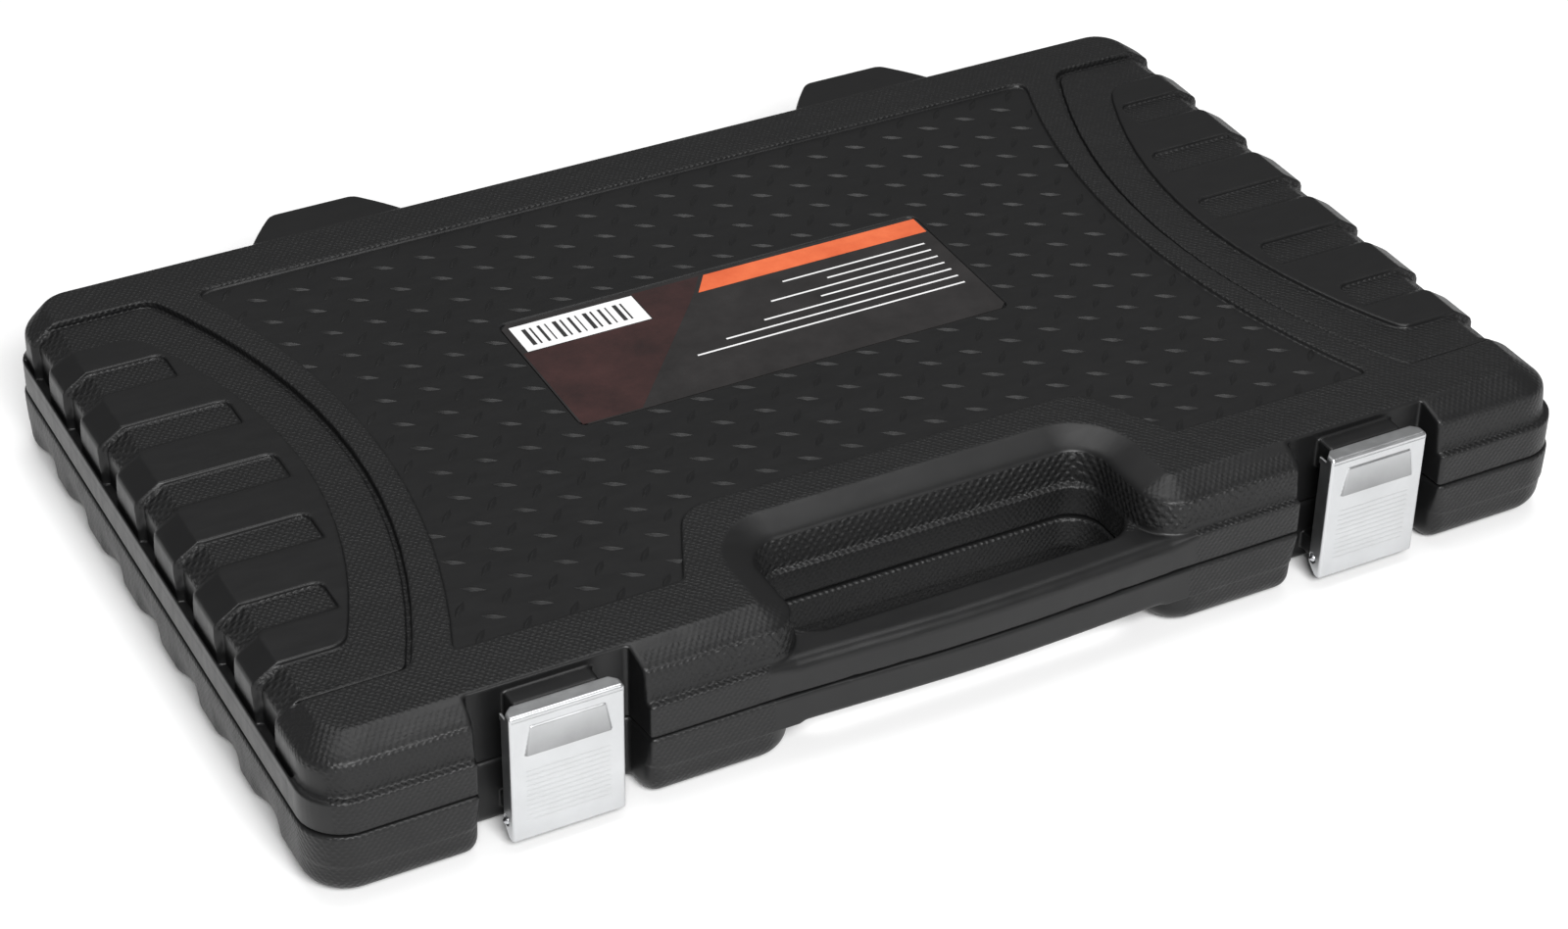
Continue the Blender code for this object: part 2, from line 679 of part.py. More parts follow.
def build_lid(pivot, material):
    """The upper half, with its origin on the hinge axis."""
    frame = add_pivot("lid_frame", pivot, (0.0, -HINGE_Y, -SEAM))
    flange = case_outline(HALF_X, -HALF_Y, HALF_Y, CORNER, GRIP_BOW)
    end = HALF_X - STEP_END
    front = -HALF_Y + STEP_FRONT
    back = HALF_Y - STEP_BACK
    share = 1.0 - CHAMFER_FRONT_DROP / CHAMFER_END_DROP
    rings = [(flange, LID_BOTTOM), (flange, LID_STEP)]
    for end_in, front_in, back_in, z, radius in (
            (0.0, 0.0, 0.0, LID_STEP + 0.1, 15.0),
            (0.0, 0.9, 0.2, HEIGHT - CHAMFER_END_DROP, 15.0),
            (CHAMFER_END * share, FRONT_LEAN, 0.3, HEIGHT - CHAMFER_FRONT_DROP, 14.0),
            (CHAMFER_END, CHAMFER_FRONT, CHAMFER_BACK, HEIGHT, 10.0)):
        rings.append((case_outline(end - end_in, front + front_in, back - back_in, radius, 0.0), z))
    bm = bmesh.new()
    add_loft(bm, rings)
    for vert in bm.verts:
        vert.co -= Vector((0.0, HINGE_Y, SEAM))
    shell = add_object("lid_shell", bm, pivot, material)
    brim = HEIGHT - CHAMFER_FRONT_DROP
    slope = (CHAMFER_FRONT - FRONT_LEAN) / CHAMFER_FRONT_DROP
    notch = bmesh.new()
    add_loft(notch, [(notch_outline(0.0), LID_STEP + 0.6), (notch_outline(0.0), brim),
                     (notch_outline((CHAMFER_FRONT_DROP + NOTCH_CUT_ABOVE) * slope), HEIGHT + NOTCH_CUT_ABOVE)])
    combine(shell, add_helper("lid_notch", notch, frame), "DIFFERENCE")
    combine(shell, add_helper("lid_hand_hole", hand_hole(-5, HEIGHT + 5), frame), "DIFFERENCE")
    combine(shell, add_helper("lid_latch_recesses", recess_cutters(-5, HEIGHT + 5), frame), "DIFFERENCE")
    catches = bmesh.new()
    for side in (-1, 1):
        x = side * LATCH_X
        add_block(catches, (x - 15, LATCH_BACK + 0.4, HEIGHT - 15), (x + 15, RECESS_BACK + 2, LATCH_HIGH - 1.6))
    combine(shell, add_helper("lid_catches", catches, frame), "UNION")
    lugs = bmesh.new()
    knuckles = bmesh.new()
    for side in (-1, 1):
        x = side * HINGE_X
        rings = []
        for shrink, z in ((0.0, LUG_BOTTOM), (0.0, LUG_TOP - 4), (0.8, LUG_TOP - 1), (2.5, LUG_TOP)):
            outline = lug_outline(LUG_FOOT_HALF - shrink * 0.3, LUG_TOP_HALF - shrink * 0.6, BACK - shrink)
            rings.append(([(x + px, py) for px, py in outline], z))
        add_loft(lugs, rings)
        add_side_prism(knuckles, knuckle_outline("lid"), x - KNUCKLE_HALF, x + KNUCKLE_HALF)
    combine(shell, add_helper("lid_lugs", lugs, frame), "UNION")
    combine(shell, add_helper("lid_knuckles", knuckles, frame), "UNION")
    combine(shell, add_helper("lid_hinge_bores", hinge_bores(), frame), "DIFFERENCE")
    combine(shell, add_helper("lid_panel", prism(panel_outline(), PANEL_FLOOR, HEIGHT + 5), frame), "DIFFERENCE")
    window = rounded_box(-LABEL_HALF, LABEL_HALF, LABEL_LOW_Y, LABEL_HIGH_Y, 3.0, 1)
    label_hole = prism(window, LABEL_FLOOR, HEIGHT + 5)
    combine(shell, add_helper("lid_label_hole", label_hole, frame), "DIFFERENCE")
    bands = bmesh.new()
    both_ends(bands, end_band_outline(), END_FLOOR, HEIGHT + 5)
    combine(shell, add_helper("lid_end_bands", bands, frame), "DIFFERENCE")
    combine(shell, add_helper("lid_ribs", lid_rib_cutters(), frame), "DIFFERENCE")
    cut_pockets(shell, "lid", lid_places(), LID_WELLS, 0.0, False, LID_WELL_FLOOR, frame)
    return frame


# ---------------------------------------------------------------- small pieces of the case

def build_label(frame, material):
    low = LABEL_FLOOR + GAP
    outline = rounded_box(GAP - LABEL_HALF, LABEL_HALF - GAP, LABEL_LOW_Y + GAP, LABEL_HIGH_Y - GAP, 2.7, 1)
    add_object("label", prism(outline, low, low + LABEL_THICK), frame, material)


def build_latch(side, name, frame, material):
    """A latch plate bent from sheet: front, two side flanges and a lip on top. It turns on its pin."""
    at = (side * LATCH_X, LATCH_PIN_Y, LATCH_PIN_Z)
    pivot = add_pivot(name + "_axis", frame, at)
    half = LATCH_WIDE / 2
    front = LATCH_FRONT - LATCH_PIN_Y
    back = LATCH_BACK - LATCH_PIN_Y
    low = LATCH_LOW - LATCH_PIN_Z
    high = LATCH_HIGH - LATCH_PIN_Z
    profile = [(front, low), (back + 1.0, low), (back + 1.0, high - 5), (back, high - 2), (back, high), (front, high)]
    bm = bmesh.new()
    add_side_prism(bm, profile, -half, half)
    plate = add_object(name + "_plate", bm, pivot, material)
    hollow = block((SHEET - half, front + SHEET, low - 5), (half - SHEET, back + 5, high - SHEET))
    combine(plate, add_helper(name + "_hollow", hollow, pivot), "DIFFERENCE")
    corners = bmesh.new()
    for end in (-1, 1):
        outline = [(end * (half + 1), back - 3), (end * (half + 1), back + 2), (end * (half - 5), back + 2)]
        add_prism(corners, outline if end < 0 else list(reversed(outline)), high - 0.999, high + 3)
    combine(plate, add_helper(name + "_corners", corners, pivot), "DIFFERENCE")
    eyes = bmesh.new()
    eye = (LATCH_PIN_R + GAP) / math.cos(math.pi / 12)
    add_side_prism(eyes, circle((0.0, 0.0), eye, 12), -half - 2, half + 2)
    combine(plate, add_helper(name + "_eyes", eyes, pivot), "DIFFERENCE")


def build_pin(name, at, radius, half, frame, material):
    """A steel pin along X with a small chamfer at both ends."""
    bm = bmesh.new()
    rings = [(circle((0.0, 0.0), r, 12), z) for r, z in (
        (radius - 0.4, -half), (radius, 0.4 - half), (radius, half - 0.4), (radius - 0.4, half))]
    add_loft(bm, rings)
    bmesh.ops.rotate(bm, cent=(0, 0, 0), matrix=Matrix.Rotation(math.pi / 2, 3, "Y"), verts=bm.verts)
    smooth(add_object(name, bm, frame, material, at=at))


def main():
    clear_scene()
    plastic = make_material("case_plastic", (0.022, 0.022, 0.023), 0.48, 0.0)
    zinc = make_material("latch_zinc", (0.72, 0.73, 0.75), 0.24, 1.0)
    pin_steel = make_material("pin_steel", (0.55, 0.56, 0.58), 0.30, 1.0)
    chrome = make_material("wrench_chrome", (0.62, 0.63, 0.65), 0.18, 1.0)
    ring_steel = make_material("ring_steel", (0.40, 0.40, 0.42), 0.35, 1.0)
    paper = make_material("label_print", (0.10, 0.05, 0.04), 0.35, 0.0)

    case = add_pivot("case_frame", None, (0.0, -(FRONT + BACK) / 2, 0.0))
    build_base(case, plastic)
    lid_axis = add_pivot("lid_axis", case, (0.0, HINGE_Y, SEAM))
    lid = build_lid(lid_axis, plastic)
    build_label(lid, paper)
    for side, word in ((-1, "left"), (1, "right")):
        build_latch(side, f"latch_{word}", case, zinc)
        latch_at = (side * LATCH_X, LATCH_PIN_Y, LATCH_PIN_Z)
        build_pin(f"latch_pin_{word}", latch_at, LATCH_PIN_R, LATCH_WIDE / 2 + 1.2, case, pin_steel)
        hinge_at = (side * HINGE_X, HINGE_Y, SEAM)
        build_pin(f"hinge_pin_{word}", hinge_at, HINGE_PIN_R, HINGE_PIN_HALF, case, pin_steel)
    for size, place in base_places().items():
        build_wrench(size, place, case, chrome, ring_steel)
    for size, place in lid_places().items():
        build_wrench(size, place, lid, chrome, ring_steel)


main()
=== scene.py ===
"""The looks of a wrench set in its blow-moulded carry case.

The two case halves, the latches and the wrenches are distance fields, which a surface net turns into
meshes with the soft, rounded edges of moulded and forged parts. Lengths are in millimetres in case
coordinates, whose middle is the middle of the case, and become metres in the frame in place().
"""

import math

import bmesh
import bpy
import numpy as np
from mathutils import Matrix, Vector


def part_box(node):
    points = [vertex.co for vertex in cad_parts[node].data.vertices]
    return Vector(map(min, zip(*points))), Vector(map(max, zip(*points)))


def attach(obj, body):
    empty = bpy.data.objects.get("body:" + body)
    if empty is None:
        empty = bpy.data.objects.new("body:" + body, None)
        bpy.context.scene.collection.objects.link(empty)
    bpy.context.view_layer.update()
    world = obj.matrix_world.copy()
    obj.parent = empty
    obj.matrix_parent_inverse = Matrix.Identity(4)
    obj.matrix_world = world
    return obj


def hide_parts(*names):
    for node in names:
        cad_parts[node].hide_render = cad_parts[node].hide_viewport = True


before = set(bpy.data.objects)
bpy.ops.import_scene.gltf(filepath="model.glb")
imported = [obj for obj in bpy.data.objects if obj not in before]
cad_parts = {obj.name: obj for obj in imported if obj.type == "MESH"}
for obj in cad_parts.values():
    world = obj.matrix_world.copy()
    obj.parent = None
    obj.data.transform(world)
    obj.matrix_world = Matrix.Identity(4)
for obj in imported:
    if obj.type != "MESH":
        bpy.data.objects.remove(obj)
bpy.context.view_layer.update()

MM = 0.001
SHIFT_Y = -8.0
COARSE = 1.0

# Case, the driving dimensions of the frame
HALF_X = 240.0
HALF_Y = 147.5
HEIGHT = 55.8
SEAM = 26.3
GAP = 0.3
LID_STEP = 39.3
BASE_STEP = 13.3
CORNER = 16.0
WALL_END = 237.4
WALL_BACK = 147.3
CREASE_FRONT = 143.5
CREASE_FRONT_Z = 51.6
CREASE_END_Z = 50.0
END_SLOPE = 1.57
FRONT_SLOPE = 2.6
POCKET_DEEP = 2.8
POCKET_SOFT = 5.5
GUTTER = (225.0, 238.5)
GUTTER_Y = (-128.0, 136.0)
GUTTER_FLOOR = 35.2
DIP_HALF = 67.0
DIP_BACK = -99.0
GRIP_HALF = 90.0
GRIP_BOW = 2.5
GRIP_BOTTOM = 13.5
ARCH_HALF = 70.0
HAND_HALF = 65.5
HAND_BACK = -102.0
HAND_FRONT = -135.0
PANEL_FLOOR = 54.4
TREAD_PITCH_X = 16.55
TREAD_PITCH_Y = 16.2
LABEL_HALF = 86.0
LABEL_LOW_Y = -14.0
LABEL_HIGH_Y = 57.0
LABEL_FLOOR = 53.4
LABEL_TOP = 54.1
END_FLOOR = 54.3
END_MID_Y = 7.5
PAD_HIGH_Y = 107.0
PAD_LOW_Y = -92.0
END_HIGH_Y = 127.0
END_LOW_Y = -112.0
RIB_PITCH = 37.4
POCKET_WIDE = 18.5
POCKET_STARTS = (200.0, 190.0, 187.0, 190.0, 200.0)
WELL_Y = (-86.0, 121.0)
LATCH_X = 154.5
LATCH_PIN_Y = -144.0
LATCH_PIN_Z = 10.0
LATCH_BORE = 1.8
BARREL_HALF = 17.0
BARREL_R = 3.6
PLATE_FRONT = -148.7
PLATE_HALF = 20.0
PLATE_TOP = 54.0
SHEET = 0.9
LOUVRE = (38.0, 49.5)
CATCH_HALF = 15.0
CATCH_FRONT = -140.6
CATCH_Z = (40.8, 52.4)
RECESS_HALF = 28.5
RECESS_BACK = -133.0
HINGE_X = 114.5
HINGE_Y = 157.0
HINGE_BORE = 1.9
KNUCKLE_R = 5.0
LUG_BOTTOM = 31.8
LUG_TOP = 54.7
LUG_BACK = 165.7
LUG_SHOULDER = (30.5, 148.5)
LUG_NOSE = (24.0, 159.5)
LENGTHS = {8: 140, 10: 158, 12: 171, 13: 178, 14: 190, 15: 199, 17: 225, 19: 247, 22: 290, 24: 325,
           27: 350, 30: 385, 32: 405}
SIZES = tuple(LENGTHS)
BASE_SIZES = (24, 27, 30, 32)


# ---- distance fields

def both(a, b, radius=0.01):
    """The overlap of two shapes, its edge rounded."""
    past_a, past_b = np.maximum(a + radius, 0), np.maximum(b + radius, 0)
    return np.minimum(-radius, np.maximum(a, b)) + np.hypot(past_a, past_b)


def either(a, b, radius=0.01):
    """The union of two shapes, with a fillet between them."""
    return -both(-a, -b, radius)


def without(a, b, radius=0.01):
    return both(a, -b, radius)


def span(value, low, high):
    return np.maximum(low - value, value - high)


def outline_distance(x, y, points):
    """Signed distance to a closed outline, negative inside."""
    nearest = np.full(np.broadcast(x, y).shape, 1e12, np.float32)
    inside = np.zeros(nearest.shape, bool)
    for (x1, y1), (x2, y2) in zip(points, points[1:] + points[:1]):
        ex, ey = x2 - x1, y2 - y1
        t = np.clip(((x - x1) * ex + (y - y1) * ey) / (ex * ex + ey * ey + 1e-12), 0, 1)
        nearest = np.minimum(nearest, (x - x1 - ex * t) ** 2 + (y - y1 - ey * t) ** 2)
        if ey:
            inside ^= ((y1 > y) != (y2 > y)) & (x < ex * (y - y1) / ey + x1)
    return np.where(inside, -np.sqrt(nearest), np.sqrt(nearest))


def ticks(*stops):
    """Sample positions: a start, then a step and the position that it reaches, and so on."""
    axis = [np.array(stops[:1], np.float32)]
    for start, step, end in zip(stops[::2], stops[1::2], stops[2::2]):
        count = math.ceil((end - start) / (step * COARSE))
        axis.append(np.linspace(start, end, count + 1, dtype=np.float32)[1:])
    return np.concatenate(axis)


class Block:
    """Sample points in a box, and the distance field of a piece on them."""

    def __init__(self, *axes):
        self.axes = axes
        self.field = None

    def window(self, low, high):
        """The part of the block between two corners: its slices and its points' coordinates."""
        cut = [slice(*np.searchsorted(axis, (a, b))) for axis, a, b in zip(self.axes, low, high)]
        x, y, z = (axis[c] for axis, c in zip(self.axes, cut))
        return tuple(cut), x[:, None, None], y[None, :, None], z[None, None, :]

    def all(self):
        return self.window((-1e9,) * 3, (1e9,) * 3)[1:]

    def change(self, how, shape, low, high, radius, margin=6.0):
        """Combines the field with shape(x, y, z), which lies between two corners."""
        low = [v - margin for v in low]
        high = [v + margin for v in high]
        cut, x, y, z = self.window(low, high)
        if all(v.size for v in (x, y, z)):
            self.field[cut] = how(self.field[cut], shape(x, y, z), radius)


def surface_net(block):
    """Points and quads of the surface where the block's field is zero: a point in each crossed cell."""
    field = block.field
    inside = field < 0
    cells = tuple(n - 1 for n in field.shape)
    corners = [(i, j, k) for i in (0, 1) for j in (0, 1) for k in (0, 1)]

    def corner(values, c):
        return values[c[0]:c[0] + cells[0], c[1]:c[1] + cells[1], c[2]:c[2] + cells[2]]

    total = sum(corner(inside, c).astype(np.int8) for c in corners)
    at = np.argwhere((total > 0) & (total < 8))
    value = {c: corner(field, c)[tuple(at.T)] for c in corners}
    place_sum = np.zeros((len(at), 3), np.float32)
    count = np.zeros(len(at), np.float32)
    for a in corners:
        for axis in range(3):
            if a[axis]:
                continue
            b = tuple(1 if i == axis else a[i] for i in range(3))
            crossed = (value[a] < 0) != (value[b] < 0)
            t = value[a][crossed] / (value[a][crossed] - value[b][crossed])
            point = np.tile(np.array(a, np.float32), (len(t), 1))
            point[:, axis] += t
            place_sum[crossed] += point
            count[crossed] += 1
    spots = at + place_sum / count[:, None]
    columns = [np.interp(spots[:, i], np.arange(len(axis)), axis) for i, axis in enumerate(block.axes)]
    points = np.stack(columns, 1)
    number = np.full(cells, -1, np.int32)
    number[tuple(at.T)] = np.arange(len(at))
    faces = []
    for axis in range(3):
        ahead = np.diff(inside.astype(np.int8), axis=axis)
        edge = np.argwhere(ahead != 0)
        turned = ahead[tuple(edge.T)] > 0
        u, v = (axis + 1) % 3, (axis + 2) % 3
        ring = []
        for du, dv in ((0, 0), (-1, 0), (-1, -1), (0, -1)):
            cell = edge.copy()
            cell[:, u] += du
            cell[:, v] += dv
            ring.append(number[tuple(cell.T)])
        quad = np.stack(ring, 1)
        quad[turned] = quad[turned][:, ::-1]
        faces.append(quad)
    return points, np.concatenate(faces)


def place(points):
    """Case coordinates in millimetres to the frame in metres."""
    return (np.asarray(points, np.float32) + np.array((0.0, SHIFT_Y, 0.0), np.float32)) * MM


def mesh_object(name, points, faces, material):
    """An object from points in metres and an array of faces with the same number of corners."""
    mesh = bpy.data.meshes.new(name)
    corners = faces.shape[1]
    mesh.vertices.add(len(points))
    mesh.vertices.foreach_set("co", np.asarray(points, np.float32).ravel())
    mesh.loops.add(faces.size)
    mesh.loops.foreach_set("vertex_index", faces.astype(np.int32).ravel())
    mesh.polygons.add(len(faces))
    mesh.polygons.foreach_set("loop_start", np.arange(0, faces.size, corners, dtype=np.int32))
    mesh.update(calc_edges=True)
    mesh.validate()
    mesh.shade_smooth()
    mesh.materials.append(material)
    obj = bpy.data.objects.new(name, mesh)
    bpy.context.scene.collection.objects.link(obj)
    return obj


def bake_modifiers(obj):
    graph = bpy.context.evaluated_depsgraph_get()
    mesh = bpy.data.meshes.new_from_object(obj.evaluated_get(graph))
    obj.modifiers.clear()
    obj.data = mesh


def lighten(obj, faces):
    """Collapses the mesh to about this many triangles, which keeps its edges and thins out its flats."""
    triangles = 2 * len(obj.data.polygons)
    if triangles > faces:
        decimate = obj.modifiers.new("lighten", "DECIMATE")
        decimate.ratio = faces / triangles
        bake_modifiers(obj)
    weighted = obj.modifiers.new("even_normals", "WEIGHTED_NORMAL")
    weighted.weight = 80
    weighted.keep_sharp = False
    bake_modifiers(obj)


def net_object(name, block, material, faces, points_to_frame=place):
    points, quads = surface_net(block)
    obj = mesh_object(name, points_to_frame(points), quads, material)
    lighten(obj, faces)
    return obj


def vertex_values(obj):
    """The object's points in case coordinates, and its normals."""
    mesh = obj.data
    co = np.empty(len(mesh.vertices) * 3, np.float32)
    mesh.vertices.foreach_get("co", co)
    normal = np.empty(len(mesh.vertices) * 3, np.float32)
    mesh.vertices.foreach_get("normal", normal)
    co = co.reshape(-1, 3) / MM - np.array((0.0, SHIFT_Y, 0.0), np.float32)
    return co, normal.reshape(-1, 3)


def set_attribute(obj, name, values):
    attribute = obj.data.attributes.new(name, "FLOAT", "POINT")
    attribute.data.foreach_set("value", np.asarray(values, np.float32))


# ---- outlines

def parabola(first, middle_x, last, steps=16):
    points = []
    for i in range(steps + 1):
        t = i / steps
        bulge = (middle_x - (first[0] + last[0]) / 2) * 4 * t * (1 - t)
        points.append((first[0] + (last[0] - first[0]) * t + bulge, first[1] + (last[1] - first[1]) * t))
    return points


def rounded(points, radii, steps=5):
    """The outline with each corner turned into a curve that starts a radius before it."""
    out = []
    for i, radius in enumerate(radii):
        before, here, after = (Vector(points[(i + k) % len(points)]) for k in (-1, 0, 1))
        if radius == 0:
            out.append(tuple(here))
            continue
        start = here + (before - here).normalized() * radius
        end = here + (after - here).normalized() * radius
        for k in range(steps + 1):
            t = k / steps
            out.append(tuple(start * (1 - t) ** 2 + here * 2 * t * (1 - t) + end * t * t))
    return out


def panel_outline():
    """The recessed panel: concave sides, and a rise around the hollow for the hand."""
    right = parabola((176.0, -110.0), 153.0, (176.0, 125.0))
    left = [(-x, y) for x, y in reversed(right)]
    rise = [(-95.0, -110.0), (-87.0, -93.0), (-80.0, -78.5), (-72.0, -74.0)]
    points = right + left + rise + [(-x, y) for x, y in reversed(rise)]
    bends = [0.0] * len(points)
    for radius, corners in ((3.0, (0, 33)), (7.0, (16, 17)), (2.0, (34, 41)), (4.0, (36, 37, 38, 39))):
        for corner in corners:
            bends[corner] = radius
    return rounded(points, bends)


def pad_outline():
    """The raised pad of the +X end, which runs out over the end."""
    arc = parabola((205.0, PAD_HIGH_Y), 180.0, (205.0, PAD_LOW_Y))
    points = [(300.0, PAD_HIGH_Y), *arc, (300.0, PAD_LOW_Y)]
    return rounded(points, [0.0, 9.0, *[0.0] * (len(arc) - 2), 5.0, 0.0])


def band_outline():
    """The sunk end region of the +X end, out from its arc."""
    arc = parabola((192.0, END_HIGH_Y), 163.0, (192.0, END_LOW_Y))
    points = [(300.0, END_HIGH_Y), *arc, (300.0, END_LOW_Y)]
    return rounded(points, [0.0, 6.0, *[0.0] * (len(arc) - 2), 4.0, 0.0])


def rib_strips():
    """The seven sunk strips between an end's ribs: low y, high y and the x where each starts on top."""
    strips = []
    for i, start in zip(range(-2, 3), POCKET_STARTS):
        middle = END_MID_Y + RIB_PITCH * i
        strips.append((middle - POCKET_WIDE / 2, middle + POCKET_WIDE / 2, start))
    return [(END_LOW_Y, PAD_LOW_Y, 205.0), *strips, (PAD_HIGH_Y, END_HIGH_Y, 205.0)]


# ---- wrench sizes and places

def wrench_sizes(size):
    """Every dimension of a wrench, from its jaw size."""
    d = {"length": LENGTHS[size], "head_r": 0.81 * size + 3.5, "head_t": 0.42 * size + 4.2,
         "ring_r": 0.64 * size + 2.0, "jaw_r": 1.075 * size, "jaw_t": 0.30 * size + 2.6,
         "shank_w": 0.55 * size + 4.5, "shank_t": 0.20 * size + 2.2, "tongue_w": 0.36 * size + 2.4,
         "tongue_t": 0.30 * size + 3.0, "cheek": 0.14 * size + 1.6, "pin_r": 0.05 * size + 0.7}
    d["ring_x"] = d["length"] - d["head_r"]
    d["pivot_x"] = d["ring_x"] - d["head_r"] - 0.22 * size - 4.0
    d["fork_back"] = d["pivot_x"] - d["tongue_t"] / 2 - 2.0
    d["fork_half"] = d["tongue_w"] / 2 + GAP + d["cheek"]
    return d


def wrench_place(size):
    """Jaw tip x, y and z of a wrench in case coordinates, and which way its head points."""
    low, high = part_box(f"wrench_{size:02d}_ratchet_ring")
    middle = (low + high) / 2 / MM - Vector((0.0, SHIFT_Y, 0.0))
    handle_low, handle_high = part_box(f"wrench_{size:02d}_handle")
    direction = 1 if middle.x > (handle_low.x + handle_high.x) / 2 / MM else -1
    return middle.x - direction * wrench_sizes(size)["ring_x"], middle.y, middle.z, direction


def carve_pockets(block, sizes, wells, opens_up):
    """Pockets for the wrenches' heads and shanks, and troughs for the fingers."""
    def deep(middle, half):
        return (middle - half, HEIGHT + 9) if opens_up else (-9.0, middle + half)

    for size in sizes:
        x0, y0, z0, direction = wrench_place(size)
        d = wrench_sizes(size)
        ring_x = x0 + direction * d["ring_x"]
        jaw_x = x0 + direction * d["jaw_r"]
        for centre, radius in ((ring_x, d["head_r"] + 0.9), (jaw_x, d["jaw_r"] + 0.9)):
            low_z, high_z = deep(z0, d["head_t"] / 2 + 0.5)
            block.change(without, lambda x, y, z: both(np.hypot(x - centre, y - y0) - radius,
                                                       span(z, low_z, high_z), 0.6),
                         (centre - radius, y0 - radius, -9), (centre + radius, y0 + radius, HEIGHT + 9), 0.8)
        low_z, high_z = deep(z0, d["tongue_t"] / 2 + 0.5)
        low_x, high_x = sorted((jaw_x, ring_x))
        half = d["fork_half"] + 0.5
        block.change(without, lambda x, y, z: both(np.maximum(np.abs(y - y0) - half, span(x, low_x, high_x)),
                                                   span(z, low_z, high_z), 0.6),
                     (low_x, y0 - half, -9), (high_x, y0 + half, HEIGHT + 9), 0.8)
    for middle, half, floor in wells:
        low_z, high_z = (floor, HEIGHT + 9) if opens_up else (-9.0, floor)
        block.change(without, lambda x, y, z: both(both(np.abs(x - middle) - half, span(y, *WELL_Y), 10.0),
                                                   span(z, low_z, high_z), 3.0),
                     (middle - half, WELL_Y[0], -9), (middle + half, WELL_Y[1], HEIGHT + 9), 1.5)


# ---- case halves

def bow(x):
    """How far the front stands out over the grip."""
    return GRIP_BOW * np.cos(np.clip(x / GRIP_HALF, -1, 1) * math.pi / 2) ** 2


def soft(value, width):
    """The value where it is positive and 0 where it is negative, with a soft bend."""
    return (value + np.sqrt(value * value + width * width)) / 2


def flange_outline(x, y, inset):
    ends = np.abs(x) - (HALF_X - inset)
    sides = np.maximum(-y - (HALF_Y - inset) - bow(x), y - (HALF_Y - inset))
    return both(ends, sides, CORNER)


def front_line(x, y):
    """From above, the distance past the lid's front crease, which turns in around the hand hollow."""
    dip = both(np.abs(x) - DIP_HALF, y - DIP_BACK, 12.0)
    return both(-y - CREASE_FRONT, -dip, 13.5)


def pocket_share(y, draft=0.0):
    """1 in the sunk strips between an end's ribs, 0 on the ribs: a soft near edge and a crisp far one."""
    share = 0.0
    for low, high, _ in rib_strips():
        near = np.clip((y - low - draft) / POCKET_SOFT, 0, 1)
        far = np.clip((high - draft - y) / 0.9 + 0.5, 0, 1)
        share = np.maximum(share, near * near * (3 - 2 * near) * far)
    return share


def hand_hole(x, y, inset):
    return both(np.abs(x) - (HAND_HALF - inset), span(y, HAND_FRONT, HAND_BACK - inset), 12.0)


def grip_arch(x, y):
    """The space for the fingers under the grip."""
    return both(np.abs(x) - ARCH_HALF, y - HAND_BACK, 12.0)


def recess(x, y, side):
    """A latch recess, a little wider in front."""
    wide = (RECESS_BACK - y) * 0.09
    return both(np.abs(x - side * LATCH_X) - RECESS_HALF - wide, y - RECESS_BACK, 1.0)


def hinge_line(x, y, z, radius):
    return np.hypot(y - HINGE_Y, z - SEAM) - radius


def latch_line(y, z, radius):
    return np.hypot(y - LATCH_PIN_Y, z - LATCH_PIN_Z) - radius


